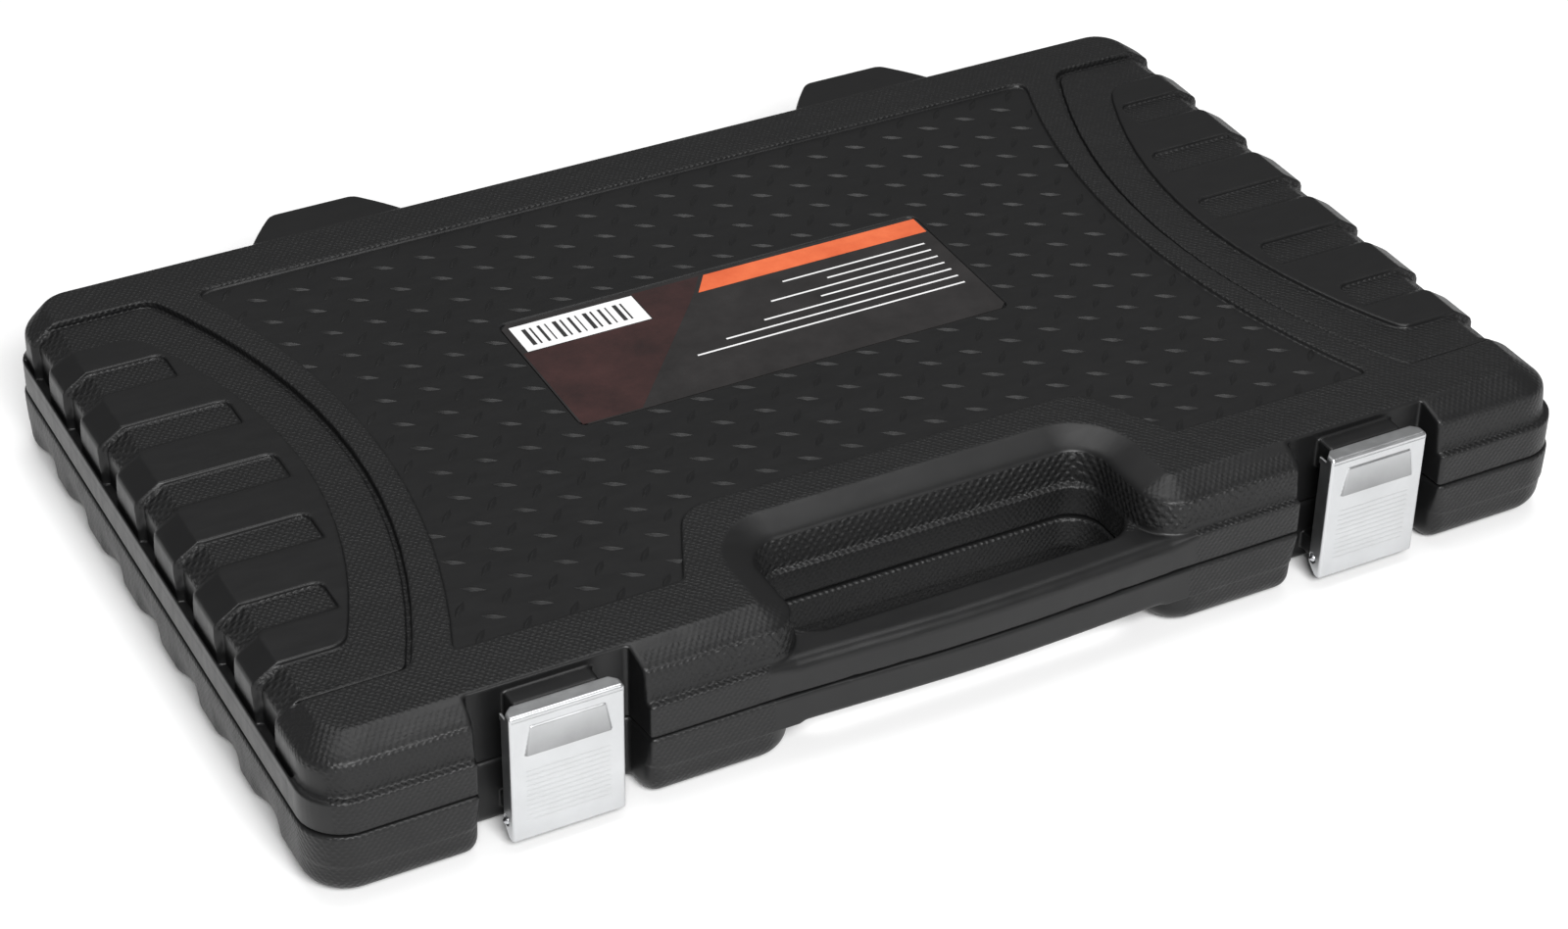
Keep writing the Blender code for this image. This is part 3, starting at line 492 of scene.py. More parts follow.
def base_field():
    block = Block(ticks(-242, 0.9, 242), ticks(-152, 0.9, 168), ticks(-1.5, 0.65, 33.0))
    x, y, z = block.all()
    scoop = 0.0
    for low, high, _ in rib_strips():
        reach = (y - (low + high) / 2) / ((high - low) / 2 + 2.5)
        scoop = np.maximum(scoop, np.cos(np.clip(reach, -1, 1) * math.pi / 2))
    sunk = 4.2 * scoop * np.clip((20.0 - z) / 20.0, 0, 1) ** 1.5
    under = 0.6 * (z < BASE_STEP) + np.maximum(BASE_STEP - z, 0) * 0.06
    ends = np.abs(x) - HALF_X + sunk + np.maximum(22.0 - z, 0) * 0.04
    sides = np.maximum(-y - HALF_Y - bow(x), y - HALF_Y) + under
    arch = grip_arch(x, y)
    sides = np.where(z < GRIP_BOTTOM, both(sides, -arch, 14.0), sides)
    block.field = both(both(both(ends, sides, CORNER), -z, 8.0), z - (SEAM - GAP / 2), 1.0).astype(np.float32)
    block.change(without, lambda x, y, z: both(grip_arch(x, y), z - GRIP_BOTTOM, 2.0),
                 (-80, -160, -9), (80, HAND_BACK, 14), 2.5)
    block.change(without, lambda x, y, z: hand_hole(x, y, 0.9) + 0 * z, (-67, -137, -9), (67, -101, 60), 1.6)
    edge = 1.6 + 3.4 * np.clip((24.0 - z) / 10.0, 0, 1)
    for side in (-1, 1):
        block.field = without(block.field, recess(x, y, side) + 0 * z, edge).astype(np.float32)
        middle = side * LATCH_X
        block.change(either, lambda x, y, z: both(np.abs(x - middle) - BARREL_HALF, np.minimum(
            latch_line(y, z, BARREL_R),
            np.maximum(span(y, LATCH_PIN_Y, RECESS_BACK + 3), np.abs(z - LATCH_PIN_Z) - BARREL_R)), 0.6),
                     (middle - 17, -148, 6), (middle + 17, RECESS_BACK + 3, 14), 0.5)
        block.change(without, lambda x, y, z: latch_line(y, z, LATCH_BORE) + 0 * x,
                     (middle - 22, -146, 8), (middle + 22, -142, 12), 0.2)
        for low, high in ((-18.5, -8.8), (8.8, 18.5)):
            at = side * HINGE_X
            block.change(either, lambda x, y, z: both(span(x, at + low, at + high), np.minimum(
                hinge_line(x, y, z, KNUCKLE_R),
                np.maximum(span(y, HALF_Y - 3, HINGE_Y), span(z, SEAM - 19 + (y - HALF_Y) * 1.5,
                                                              SEAM + 4.0 - (HINGE_Y - y) * 0.8))), 0.5),
                         (at + low, HALF_Y - 3, 6), (at + high, 163, 32), 0.8)
        block.change(without, lambda x, y, z: hinge_line(x, y, z, HINGE_BORE) + 0 * x,
                     (side * HINGE_X - 19, 155, 24), (side * HINGE_X + 19, 159, 29), 0.2)
    carve_pockets(block, BASE_SIZES, ((0.0, 32.0, 5.5),), True)
    return block


def lug(x, y, z, middle):
    """A hinge lug: a flat-topped block on the lid's back edge that narrows in two steps."""
    side = np.abs(x - middle)
    shoulder = ((side - LUG_SHOULDER[0]) * 11.0 + (y - LUG_SHOULDER[1]) * 6.5) / 12.78
    nose = ((side - LUG_NOSE[0]) * 6.5 + (y - LUG_NOSE[1]) * 7.0) / 9.55
    plan = both(both(shoulder, nose, 5.0), y - LUG_BACK, 2.5)
    return both(both(plan, z - LUG_TOP, 1.8), LUG_BOTTOM - z, 1.0)


def lid_field():
    block = Block(ticks(-242, 0.8, 242), ticks(-152, 0.8, 168), ticks(20.0, 0.65, 51.0, 0.3, 56.7))
    x, y, z = block.all()
    pocket = pocket_share(y, np.maximum(48.0 - z, 0) * 0.12)
    end = WALL_END - POCKET_DEEP * pocket - END_SLOPE * soft(z - CREASE_END_Z + 0.8 * pocket, 0.9)
    front = front_line(x, y) + 0.098 * (z - CREASE_FRONT_Z) + FRONT_SLOPE * soft(z - CREASE_FRONT_Z, 1.1)
    back = y - WALL_BACK + 0.02 * (z - LID_STEP)
    corner = 15.0 - 4.5 * np.clip((z - 50.0) / 5.8, 0, 1)
    upper = both(np.abs(x) - end, np.maximum(front, back), corner)
    upper = both(upper, z - HEIGHT, np.where(y > 100.0, 1.3, 0.45))
    lip = 1.2 + 3.3 * np.clip((84.0 - np.abs(x)) / 12.0, 0, 1)
    flange = both(flange_outline(x, y, 0.55), z - LID_STEP, np.where(np.abs(x) > 237.0, 0.7, lip))
    gutter = both(both(span(np.abs(x), *GUTTER), span(y, *GUTTER_Y), 3.0), GUTTER_FLOOR - z, 0.8)
    block.field = either(upper, without(flange, gutter, 0.4), 0.6).astype(np.float32)
    del pocket, end, front, back, upper, flange, gutter
    block.field = both(block.field, SEAM + GAP / 2 - z, 0.5)
    block.change(without, lambda x, y, z: hand_hole(x, y, 0.0) + 0 * z,
                 (-67, -137, 0), (67, -101, 60), 1.5, 12.0)
    for side in (-1, 1):
        middle = side * LATCH_X
        block.change(without, lambda x, y, z: recess(x, y, side) + 0 * z,
                     (middle - 33, -160, -9), (middle + 33, RECESS_BACK, 60), 1.4)
        block.change(either, lambda x, y, z: both(both(np.abs(x - middle) - CATCH_HALF, CATCH_FRONT - y, 1.0),
                                                  np.maximum(span(z, *CATCH_Z), y - RECESS_BACK - 3), 1.0),
                     (middle - 15, -141, 40), (middle + 15, RECESS_BACK + 3, 53), 0.8)
        at = side * HINGE_X
        block.change(either, lambda x, y, z: np.maximum(lug(x, y, z, at), 143.0 - y),
                     (at - 33, 143, 30), (at + 33, 167, 56), 1.2, 8.0)
        block.change(either, lambda x, y, z: both(np.abs(x - at) - 8.5, np.minimum(
            hinge_line(x, y, z, KNUCKLE_R),
            np.maximum(np.abs(y - HINGE_Y) - KNUCKLE_R, span(z, SEAM, LUG_BOTTOM + 1))), 0.5),
                     (at - 9, 151, 21), (at + 9, 163, 33), 0.6)
        block.change(without, lambda x, y, z: hinge_line(x, y, z, HINGE_BORE) + 0 * x,
                     (at - 19, 155, 24), (at + 19, 159, 29), 0.2)

    x2, y2 = block.axes[0][:, None], block.axes[1][None, :]
    panel = outline_distance(x2, y2, panel_outline())
    band = outline_distance(np.abs(x2), y2, band_outline())
    pad = outline_distance(np.abs(x2), y2, pad_outline())
    cut, x, y, z = block.window((-1e9, -1e9, 51.0), (1e9, 1e9, 58.0))
    top = block.field[cut]
    top = without(top, both(panel[:, :, None] + (z - PANEL_FLOOR) * -0.3, PANEL_FLOOR - z, 0.25), 0.35)
    sunk = both(band, -pad, 0.4)
    top = without(top, both(sunk[:, :, None] + (z - END_FLOOR) * -0.2, END_FLOOR - z, 0.25), 0.35)
    groove = both(np.abs(band[:, :, None] + 0.5) - 0.9, END_FLOOR - 1.4 - z, 0.4)
    top = without(top, groove, 0.5)
    label = both(np.abs(x) - LABEL_HALF, span(y, LABEL_LOW_Y, LABEL_HIGH_Y), 3.0)
    top = without(top, np.maximum(label, LABEL_FLOOR - z), 0.3)
    for low, high, start in rib_strips():
        near = np.clip((y - low) / POCKET_SOFT, 0, 1)
        floor = HEIGHT + 0.9 - (HEIGHT + 0.9 - END_FLOOR) * near * near * (3 - 2 * near)
        strip = both(both(y - high, start - np.abs(x), 4.0) + (z - END_FLOOR) * -0.2, floor - z, 0.3)
        top = without(top, np.maximum(strip, low - y), 0.4)
    block.field[cut] = top
    carve_pockets(block, [s for s in SIZES if s not in BASE_SIZES],
                  ((-105.0, 22.0, 45.5), (122.0, 22.0, 45.5)), False)
    return block


# ---- treads

def tread_shape():
    """One raised diamond round the origin, its ridge falling to both points: its points and faces."""
    turns = 20
    points = []
    for length, width, height in ((4.6, 1.4, -0.25), (4.4, 1.3, 0.04), (2.9, 0.62, 0.36), (1.3, 0.2, 0.62)):
        for i in range(turns):
            c, s = math.cos(2 * math.pi * i / turns), math.sin(2 * math.pi * i / turns)
            reach = (abs(c) ** 1.25 + abs(s) ** 1.25) ** -0.8
            points.append((c * reach * length, s * reach * width, height))
    points += [(0.0, 0.0, 0.67), (0.0, 0.0, -0.25)]
    faces = []
    for i in range(turns):
        j = (i + 1) % turns
        for ring in (0, turns, 2 * turns):
            faces += [(ring + i, ring + j, ring + turns + j), (ring + i, ring + turns + j, ring + turns + i)]
        faces += [(3 * turns + i, 3 * turns + j, 4 * turns), (j, i, 4 * turns + 1)]
    return np.array(points, np.float32), np.array(faces, np.int32)


def build_treads(material):
    """The diamonds of the panel: two lattices, each at its own angle."""
    shape, faces = tread_shape()
    places = []
    for row in range(-8, 9):
        for column in range(-12, 13):
            places.append((TREAD_PITCH_X * column, 6.5 + TREAD_PITCH_Y * row, 48.0))
            places.append((TREAD_PITCH_X * (column + 0.5), -1.6 + TREAD_PITCH_Y * row, -31.0))
    spots = np.array(places)
    depth = outline_distance(spots[:, 0], spots[:, 1], panel_outline())
    clear = np.maximum(np.abs(spots[:, 0]) - LABEL_HALF, span(spots[:, 1], LABEL_LOW_Y, LABEL_HIGH_Y))
    spots = spots[(depth < -0.5) & (clear > 3.4)]
    all_points, all_faces = [], []
    for x, y, turn in spots:
        c, s = math.cos(math.radians(turn)), math.sin(math.radians(turn))
        moved = shape @ np.array(((c, s, 0), (-s, c, 0), (0, 0, 1)), np.float32)
        all_faces.append(faces + len(shape) * len(all_points))
        all_points.append(moved + np.array((x, y, PANEL_FLOOR), np.float32))
    obj = mesh_object("lid_treads", place(np.concatenate(all_points)), np.concatenate(all_faces), material)
    obj.data.set_sharp_from_angle(angle=math.radians(40))
    set_attribute(obj, "grain_and_painted_shade", np.zeros(len(obj.data.vertices)))
    return obj


# ---- grain masks

def lid_grain(points, normals):
    """How strongly each point of the lid is grained: 0 smooth, 1 the knit of the flats, more is coarser."""
    x, y, z = points.T
    side = np.abs(x)
    grain_and_painted_shade = np.ones(len(x), np.float32)
    grain_and_painted_shade[(outline_distance(x, y, panel_outline()) < 0.3) & (z > 50)] = 0
    pocket = pocket_share(y) > 0.45
    pad = outline_distance(side, y, pad_outline()) < 0.2
    ribs = (side > 200.0) & (y > END_LOW_Y) & (y < END_HIGH_Y) & ~pocket
    started = np.zeros(len(x), bool)
    for low, high, start in rib_strips():
        started |= (y > low) & (y < high) & (side > start)
    grain_and_painted_shade[pad & ~(pocket & started) & (z > LID_STEP)] = 0
    grain_and_painted_shade[ribs & (side > 222.0) & (z > GUTTER_FLOOR)] = 0
    grain_and_painted_shade[pocket & (side > 226.5) & (z > 47.5)] = 1.7
    grain_and_painted_shade[(side > 232.5) & (z < 47.5)] = 0
    past = front_line(x, y)
    face = (past > -11.6) & (z > 50.8) & (side < 230.0)
    grain_and_painted_shade[face] = 0.4
    grain_and_painted_shade[face & (side < 94.0) & (y > -131.5)] = 0
    grain_and_painted_shade[(past > -1.0) & (z > LID_STEP + 0.4) & (z < 50.8) & (side < 90.0)] = 1.5
    grain_and_painted_shade[(side < 82.0) & (y < -134.5) & (z < 41.5)] = 0
    grain_and_painted_shade[(y > 146.2) & (z > LID_STEP)] = 0
    grain_and_painted_shade[(np.abs(side - HINGE_X) < 34) & (y > 148.0)] = 0
    grain_and_painted_shade[(np.abs(side - LATCH_X) < RECESS_HALF + 2.5) & (y < RECESS_BACK + 1.0)] = 0
    grain_and_painted_shade[z < SEAM + 0.6] = 0
    grain_and_painted_shade[normals[:, 2] < -0.5] = 0
    grain_and_painted_shade[(side < 232) & (y > -98) & (y < 140) & (z < 50)] = 0
    return grain_and_painted_shade


def base_grain(points, normals):
    x, y, z = points.T
    side = np.abs(x)
    grain_and_painted_shade = np.ones(len(x), np.float32)
    outer = flange_outline(x, y, 0.0)
    grain_and_painted_shade[(outer < -10.0) & (z > 0.5)] = 0
    grain_and_painted_shade[(side < 80.0) & (y < -136.0)] = 0
    hollow = (side < HAND_HALF + 1.0) & (y > -128.0) & (y < HAND_BACK + 1.5)
    grain_and_painted_shade[hollow] = 1
    in_recess = (np.abs(side - LATCH_X) < RECESS_HALF + 2.5) & (y < RECESS_BACK + 1.0)
    grain_and_painted_shade[in_recess] = 0
    grain_and_painted_shade[z > SEAM - 0.5] = 0
    return grain_and_painted_shade


# ---- latches and pins

def latch_field(side):
    """A latch pressed from sheet: front, side flanges, a lip on top, a raised louvre and pressed lines."""
    middle = side * LATCH_X
    block = Block(ticks(middle - 21, 0.3, middle + 21), ticks(-151, 0.22, -139.5), ticks(3.0, 0.2, 55.0))
    x, y, z = block.all()
    u = np.abs(x - middle)
    relief = 0.25 * np.exp(-((z - 52.2) / 0.2) ** 2) * (u < 19.5)
    for i in range(11):
        relief = relief + 0.15 * np.exp(-((z - 11.5 - 2.0 * i) / 0.22) ** 2) * np.clip((15.0 - u) / 0.6, 0, 1)
    up = np.clip((LOUVRE[1] - z) / (LOUVRE[1] - LOUVRE[0]), 0, 1)
    edge = np.clip((13.3 + 2.0 * up - u) / 0.7, 0, 1) * np.clip((LOUVRE[1] - z) / 0.7, 0, 1)
    front = PLATE_FRONT + relief - (0.45 + 0.7 * up) * edge * np.clip((z - LOUVRE[0]) / 0.3, 0, 1)
    outer = both(both(u - PLATE_HALF, front - y, 1.2), z - PLATE_TOP, 1.3)
    inner = both(both(u - (PLATE_HALF - SHEET), front + SHEET - y, 0.5), z - (PLATE_TOP - SHEET), 0.6)
    sheet = without(outer, inner, 0.15)
    reach = np.where(z > 49.0, -141.0, -141.9)
    foot = np.maximum(4.0 - z, (y + 147.1) * 0.9 - z + 3.0)
    sheet = both(sheet, np.maximum(y - reach, foot), 0.3)
    corner = (u - 18.6 + (y + 144.0)) * 0.707
    step = np.maximum(u - 16.8, -142.4 - y)
    sheet = np.where(z > 51.5, both(without(sheet, step, 0.25), corner, 0.3), sheet)
    eye = np.maximum(latch_line(y, z, LATCH_BORE), BARREL_HALF - u)
    block.field = without(sheet, eye, 0.1).astype(np.float32)
    return block


def build_pin(name, body, material):
    """A turned pin with domed ends, made to its node's box."""
    low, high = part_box(name)
    middle, half = (low + high) / 2, (high - low) / 2
    radius = half.z
    profile = [(1.0, 0.0), (0.985, 0.45), (0.955, 0.8), (0.93, 0.97), (0.9, 1.0), (0.3, 1.0), (0.28, 0.965)]
    profile += [(-x, r) for x, r in reversed(profile)]
    turns = 32
    points, faces = [], []
    for x, r in profile:
        for i in range(turns):
            a = 2 * math.pi * i / turns
            points.append((middle.x + x * half.x, middle.y + radius * r * math.cos(a),
                           middle.z + radius * r * math.sin(a)))
    for ring in range(len(profile) - 1):
        for i in range(turns):
            j = (i + 1) % turns
            near, far = turns * ring, turns * (ring + 1)
            faces.append((near + i, near + j, far + j, far + i))
    obj = mesh_object(name + "_turned", np.array(points), np.array(faces), material)
    finish_piece(obj, body, "pin_steel", name)


# ---- wrenches

def to_wrench_frame(size):
    """A call that moves points from a wrench's own axes to where it lies, in the frame."""
    x0, y0, z0, direction = wrench_place(size)
    turn = np.array((direction, direction, 1), np.float32)
    return lambda points: place(points * turn + np.array((x0, y0, z0), np.float32))


def handle_field(size, d):
    """The open end, the shank with a sunk panel on both faces, and the fork."""
    step = 0.25 + 0.012 * size
    end = d["pivot_x"] + d["tongue_t"] / 2
    wide = d["jaw_r"] + 2
    thick = d["head_t"] / 2 + 1
    block = Block(ticks(-1.5, step, end + 2), ticks(-wide, step, wide), ticks(-thick, step, thick))
    x, y, z = block.all()
    turn = math.radians(15)
    a = (x - d["jaw_r"]) * math.cos(turn) + y * math.sin(turn)
    b = -(x - d["jaw_r"]) * math.sin(turn) + y * math.cos(turn)
    head = np.hypot(a, b) - d["jaw_r"]
    side = np.abs(b) - size / 2
    mouth = both(side, np.maximum(a - 0.1 * size, (a + 0.25 * size) * 0.45 + side * 0.75), 0.05 * size)
    plan = without(head, mouth, 0.05 * size)
    taper = 1.1 - 0.1 * np.clip((x - d["jaw_r"]) / (d["fork_back"] - d["jaw_r"]), 0, 1)
    shank = both(np.abs(y) - d["shank_w"] / 2 * taper, span(x, 1.15 * d["jaw_r"], d["fork_back"]), 0.5)
    jaw_solid = both(plan, np.abs(z) - d["jaw_t"] / 2, 0.09 * size + 0.2)
    bar = both(shank, np.abs(z) - d["shank_t"] / 2, d["shank_t"] * 0.42)
    solid = either(jaw_solid, bar, 0.28 * size)
    solid = without(solid, np.maximum(mouth, np.abs(z) - 60), 0.25)
    root = both(both(np.abs(y) - d["fork_half"], span(x, d["fork_back"] - 3.0, d["fork_back"] + 1.0), 1.0),
                np.abs(z) - d["tongue_t"] / 2, 0.8)
    solid = either(solid, root, 0.18 * size)
    cheek = both(span(np.abs(y), d["tongue_w"] / 2 + GAP, d["fork_half"]), np.maximum(
        d["fork_back"] - x, np.minimum(np.hypot(x - d["pivot_x"], z), np.maximum(np.abs(z), x - d["pivot_x"]))
        - d["tongue_t"] / 2), 0.4)
    solid = np.minimum(solid, cheek)
    gap = np.maximum(np.abs(y) - d["tongue_w"] / 2 - GAP, d["fork_back"] + 1.0 - x)
    solid = without(solid, gap, 0.1)
    pin = np.maximum(np.hypot(x - d["pivot_x"], z) - d["pin_r"], np.abs(y) - d["fork_half"] + 0.2)
    solid = np.minimum(solid, pin)
    length = d["fork_back"] - 2.0 * d["jaw_r"]
    middle = (d["fork_back"] + 2.0 * d["jaw_r"]) / 2 + 0.1 * d["jaw_r"]
    sunk = both(np.abs(x - middle) - length * 0.40, np.abs(y) - d["shank_w"] * 0.27, d["shank_w"] * 0.26)
    depth = d["shank_t"] / 2 - 0.10 * d["shank_t"]
    solid = without(solid, np.maximum(sunk, depth - np.abs(z)), 0.35)
    block.field = solid.astype(np.float32)
    return block


def head_field(size, d):
    """The flex head: a ring with stepped faces and a tongue for the fork."""
    step = 0.25 + 0.011 * size
    low = d["pivot_x"] - d["tongue_t"] / 2
    wide, thick = d["head_r"] + 1.5, d["head_t"] / 2 + 1.2
    block = Block(ticks(low - 1.5, step, d["length"] + 1.5), ticks(-wide, step, wide),
                  ticks(-thick, step, thick))
    x, y, z = block.all()
    out = np.hypot(x - d["ring_x"], y)
    ring = both(out - d["head_r"], np.abs(z) - d["head_t"] / 2, 0.05 * size + 0.6)
    tongue = both(np.abs(y) - d["tongue_w"] / 2, np.maximum(
        x - d["ring_x"], np.minimum(np.hypot(x - d["pivot_x"], z), np.maximum(np.abs(z), d["pivot_x"] - x))
        - d["tongue_t"] / 2), 0.4)
    neck_start = d["pivot_x"] + d["tongue_t"] / 2 + 0.9
    neck = both(np.abs(y) - d["fork_half"] * 0.92, np.maximum(span(x, neck_start, d["ring_x"]),
                                                              np.abs(z) - d["tongue_t"] / 2), 0.8)
    solid = either(ring, np.minimum(neck, tongue), 0.12 * size)
    solid = np.minimum(solid, tongue)
    lip = both(out - d["ring_r"] - 0.10 * size, d["head_t"] / 2 - 0.45 - np.abs(z), 0.1)
    solid = without(solid, lip, 0.2)
    solid = without(solid, out - d["ring_r"] - GAP, 0.2)
    solid = without(solid, np.hypot(x - d["pivot_x"], z) - d["pin_r"] - GAP, 0.1)
    block.field = solid.astype(np.float32)
    return block


def hexagon(x, y, flat, turn):
    angles = [math.radians(turn + 60 * k) for k in range(3)]
    return np.maximum.reduce([np.abs(x * math.cos(a) + y * math.sin(a)) - flat / 2 for a in angles])


def ring_field(size, d):
    """The ratchet ring with its twelve-point opening."""
    step = 0.16 + 0.008 * size
    r = d["ring_r"]
    half = d["head_t"] / 2 - 0.6
    at = d["ring_x"]
    block = Block(ticks(at - r - 1, step, at + r + 1), ticks(-r - 1, step, r + 1),
                  ticks(-half - 1, step * 1.2, half + 1))
    x, y, z = block.all()
    opening = np.minimum(hexagon(x - at, y, size * 1.01, 0.0), hexagon(x - at, y, size * 1.01, 30.0))
    body = both(np.hypot(x - at, y) - r, np.abs(z) - half, 0.3)
    groove = np.maximum(np.abs(np.hypot(x - at, y) - (r + size * 0.577) / 2) - 0.25, half - 0.4 - np.abs(z))
    body = without(body, groove, 0.15)
    block.field = without(body, opening + 0 * z, 0.45).astype(np.float32)
    return block


# ---- materials

class Nodes:
    """Short calls for building a material's nodes."""

    def __init__(self, name):
        self.material = bpy.data.materials.new(name)
        self.material.use_nodes = True
        self.tree = self.material.node_tree
        self.shader = self.tree.nodes["Principled BSDF"]

    def add(self, kind, **settings):
        node = self.tree.nodes.new(kind)
        for key, value in settings.items():
            setattr(node, key, value)
        return node

    def put(self, socket, value):
        if isinstance(value, bpy.types.NodeSocket):
            self.tree.links.new(value, socket)
        else:
            socket.default_value = value

    def math(self, operation, *values):
        node = self.add("ShaderNodeMath", operation=operation)
        for socket, value in zip(node.inputs, values):
            self.put(socket, value)
        return node.outputs[0]

    def object_point(self):
        return self.add("ShaderNodeTexCoord").outputs["Object"]

    def split(self, vector):
        node = self.add("ShaderNodeSeparateXYZ")
        self.put(node.inputs[0], vector)
        return node.outputs

    def noise(self, point, scale, detail=3.0, roughness=0.55, squeeze=(1.0, 1.0, 1.0)):
        mapping = self.add("ShaderNodeMapping")
        self.put(mapping.inputs["Vector"], point)
        mapping.inputs["Scale"].default_value = squeeze
        node = self.add("ShaderNodeTexNoise")
        self.put(node.inputs["Vector"], mapping.outputs[0])
        node.inputs["Scale"].default_value = scale
        node.inputs["Detail"].default_value = detail
        node.inputs["Roughness"].default_value = roughness
        return node.outputs["Fac"]

    def between(self, value, low, high, out_low, out_high):
        node = self.add("ShaderNodeMapRange")
        for socket, v in zip(node.inputs, (value, low, high, out_low, out_high)):
            self.put(socket, v)
        return node.outputs[0]

    def ramp(self, value, stops):
        node = self.add("ShaderNodeValToRGB")
        self.put(node.inputs[0], value)
        elements = node.color_ramp.elements
        while len(elements) < len(stops):
            elements.new(0.5)
        for element, (position, colour) in zip(elements, stops):
            element.position = position
            element.color = (*colour, 1.0)
        return node.outputs[0]

    def pick(self, choice, yes, no):
        """One value where the choice is 1, the other where it is 0."""
        return self.math("ADD", self.math("MULTIPLY", choice, yes),
                         self.math("MULTIPLY", self.math("SUBTRACT", 1.0, choice), no))

    def bump(self, height, distance, strength=1.0, normal=None):
        node = self.add("ShaderNodeBump")
        node.inputs["Strength"].default_value = strength
        node.inputs["Distance"].default_value = distance
        self.put(node.inputs["Height"], height)
        if normal is not None:
            self.put(node.inputs["Normal"], normal)
        return node.outputs[0]

    def set(self, **values):
        names = {"colour": "Base Color", "roughness": "Roughness", "metallic": "Metallic", "normal": "Normal",
                 "specular": "Specular IOR Level", "coat": "Coat Weight", "coat_roughness": "Coat Roughness"}
        for key, value in values.items():
            self.put(self.shader.inputs[names[key]], value)
        return self.material


def knit_height(n, point, normal, dashes, rows):
    """Rows of short dashes, each row half a dash off the last, laid on whichever way the surface faces."""
    wobble = n.noise(point, 210.0, 4.0, 0.65)
    x, y, z = n.split(point)
    nx, ny, nz = n.split(normal)
    faces_up = n.math("GREATER_THAN", n.math("ABSOLUTE", nz), 0.62)
    faces_end = n.math("GREATER_THAN", n.math("ABSOLUTE", nx), n.math("ABSOLUTE", ny))
    along = n.pick(faces_up, x, n.pick(faces_end, y, x))
    across = n.pick(faces_up, y, z)
    shift = n.math("MULTIPLY", wobble, 0.0030)
    dash = n.math("COSINE", n.math("MULTIPLY", n.math("ADD", along, shift), 2 * math.pi * dashes))
    turn = n.math("MULTIPLY", n.math("ADD", across, shift), 2 * math.pi * rows)
    row = n.math("COSINE", turn)
    line = n.math("COSINE", n.math("MULTIPLY", turn, 2.0))
    return n.math("ADD", n.math("MULTIPLY", dash, row), n.math("MULTIPLY", line, 0.25))


def case_plastic():
    """Black moulded polyethylene, smooth or grained as the mesh's grain value says."""
    n = Nodes("case_plastic_black")
    coordinates = n.add("ShaderNodeTexCoord")
    point = coordinates.outputs["Object"]
    # On the case this attribute holds only grain; on the latches it holds painted shade instead.
    grain_and_painted_shade = n.add("ShaderNodeAttribute", attribute_name="grain_and_painted_shade").outputs["Fac"]
    flat_knit = knit_height(n, point, coordinates.outputs["Normal"], 430.0, 340.0)
    wall_knit = knit_height(n, point, coordinates.outputs["Normal"], 300.0, 250.0)
    knit = n.pick(n.math("GREATER_THAN", grain_and_painted_shade, 1.2), n.math("MULTIPLY", wall_knit, 3.8),
                  n.math("MULTIPLY", flat_knit, 2.3))
    fine = n.noise(point, 1500.0, 4.0, 0.6)
    cloud = n.noise(point, 9.0, 4.0)
    waves = n.noise(point, 26.0, 2.0)
    scuff = n.noise(point, 70.0, 6.0, 0.72, (1.0, 3.2, 1.0))
    height = n.math("MULTIPLY", knit, n.math("MULTIPLY", grain_and_painted_shade, n.between(cloud, 0.3, 0.7, 0.8, 1.1)))
    normal = n.bump(waves, 0.0008)
    normal = n.bump(fine, 0.000022, 1.0, normal)
    normal = n.bump(height, 0.000040, 1.0, normal)
    colour = n.ramp(n.math("ADD", n.math("MULTIPLY", cloud, 0.7), n.math("MULTIPLY", fine, 0.3)),
                    ((0.25, (0.0045, 0.0046, 0.0048)), (0.75, (0.0070, 0.0070, 0.0072))))
    rough = n.math("ADD", n.between(scuff, 0.35, 0.75, 0.36, 0.46), n.math("MULTIPLY", grain_and_painted_shade, 0.07))
    return n.set(colour=colour, roughness=rough, normal=normal, specular=0.32)


def zinc():
    """Bright zinc-plated sheet, faintly brushed and clouded, with painted shade darkening the louvre most at
    its bottom.
    """
    n = Nodes("latch_zinc_bright")
    point = n.object_point()
    brush = n.noise(point, 900.0, 3.0, 0.6, (0.04, 1.0, 1.0))
    cloud = n.noise(point, 60.0, 5.0, 0.6)
    spangle = n.noise(point, 260.0, 2.0)
    # On the latch this attribute is painted shade: it darkens the louvre's colour, most at its bottom.
    tone = n.add("ShaderNodeAttribute", attribute_name="grain_and_painted_shade").outputs["Fac"]
    colour = n.ramp(n.math("SUBTRACT", n.between(cloud, 0.3, 0.7, 0.75, 0.85), n.math("MULTIPLY", tone, 0.5)),
                    ((0.0, (0.10, 0.10, 0.10)), (1.0, (0.66, 0.67, 0.68))))
    rough = n.math("ADD", n.between(cloud, 0.3, 0.7, 0.30, 0.35), n.between(spangle, 0.4, 0.6, -0.01, 0.02))
    normal = n.bump(brush, 0.000010)
    return n.set(colour=colour, roughness=rough, metallic=1.0, normal=normal)


def steel(name, dark, bright, rough_low, rough_high, squeeze):
    """Turned, forged or plated steel with fine tool marks and cloudy tone."""
    n = Nodes(name)
    point = n.object_point()
    marks = n.noise(point, 1100.0, 3.0, 0.6, squeeze)
    cloud = n.noise(point, 45.0, 5.0, 0.6)
    orange = n.noise(point, 380.0, 2.0)
    colour = n.ramp(cloud, ((0.3, dark), (0.7, bright)))
    rough = n.between(n.math("ADD", n.math("MULTIPLY", cloud, 0.7), n.math("MULTIPLY", orange, 0.3)),
                      0.35, 0.65, rough_low, rough_high)
    normal = n.bump(orange, 0.00002, 1.0, n.bump(marks, 0.000008))
    return n.set(colour=colour, roughness=rough, metallic=1.0, normal=normal)


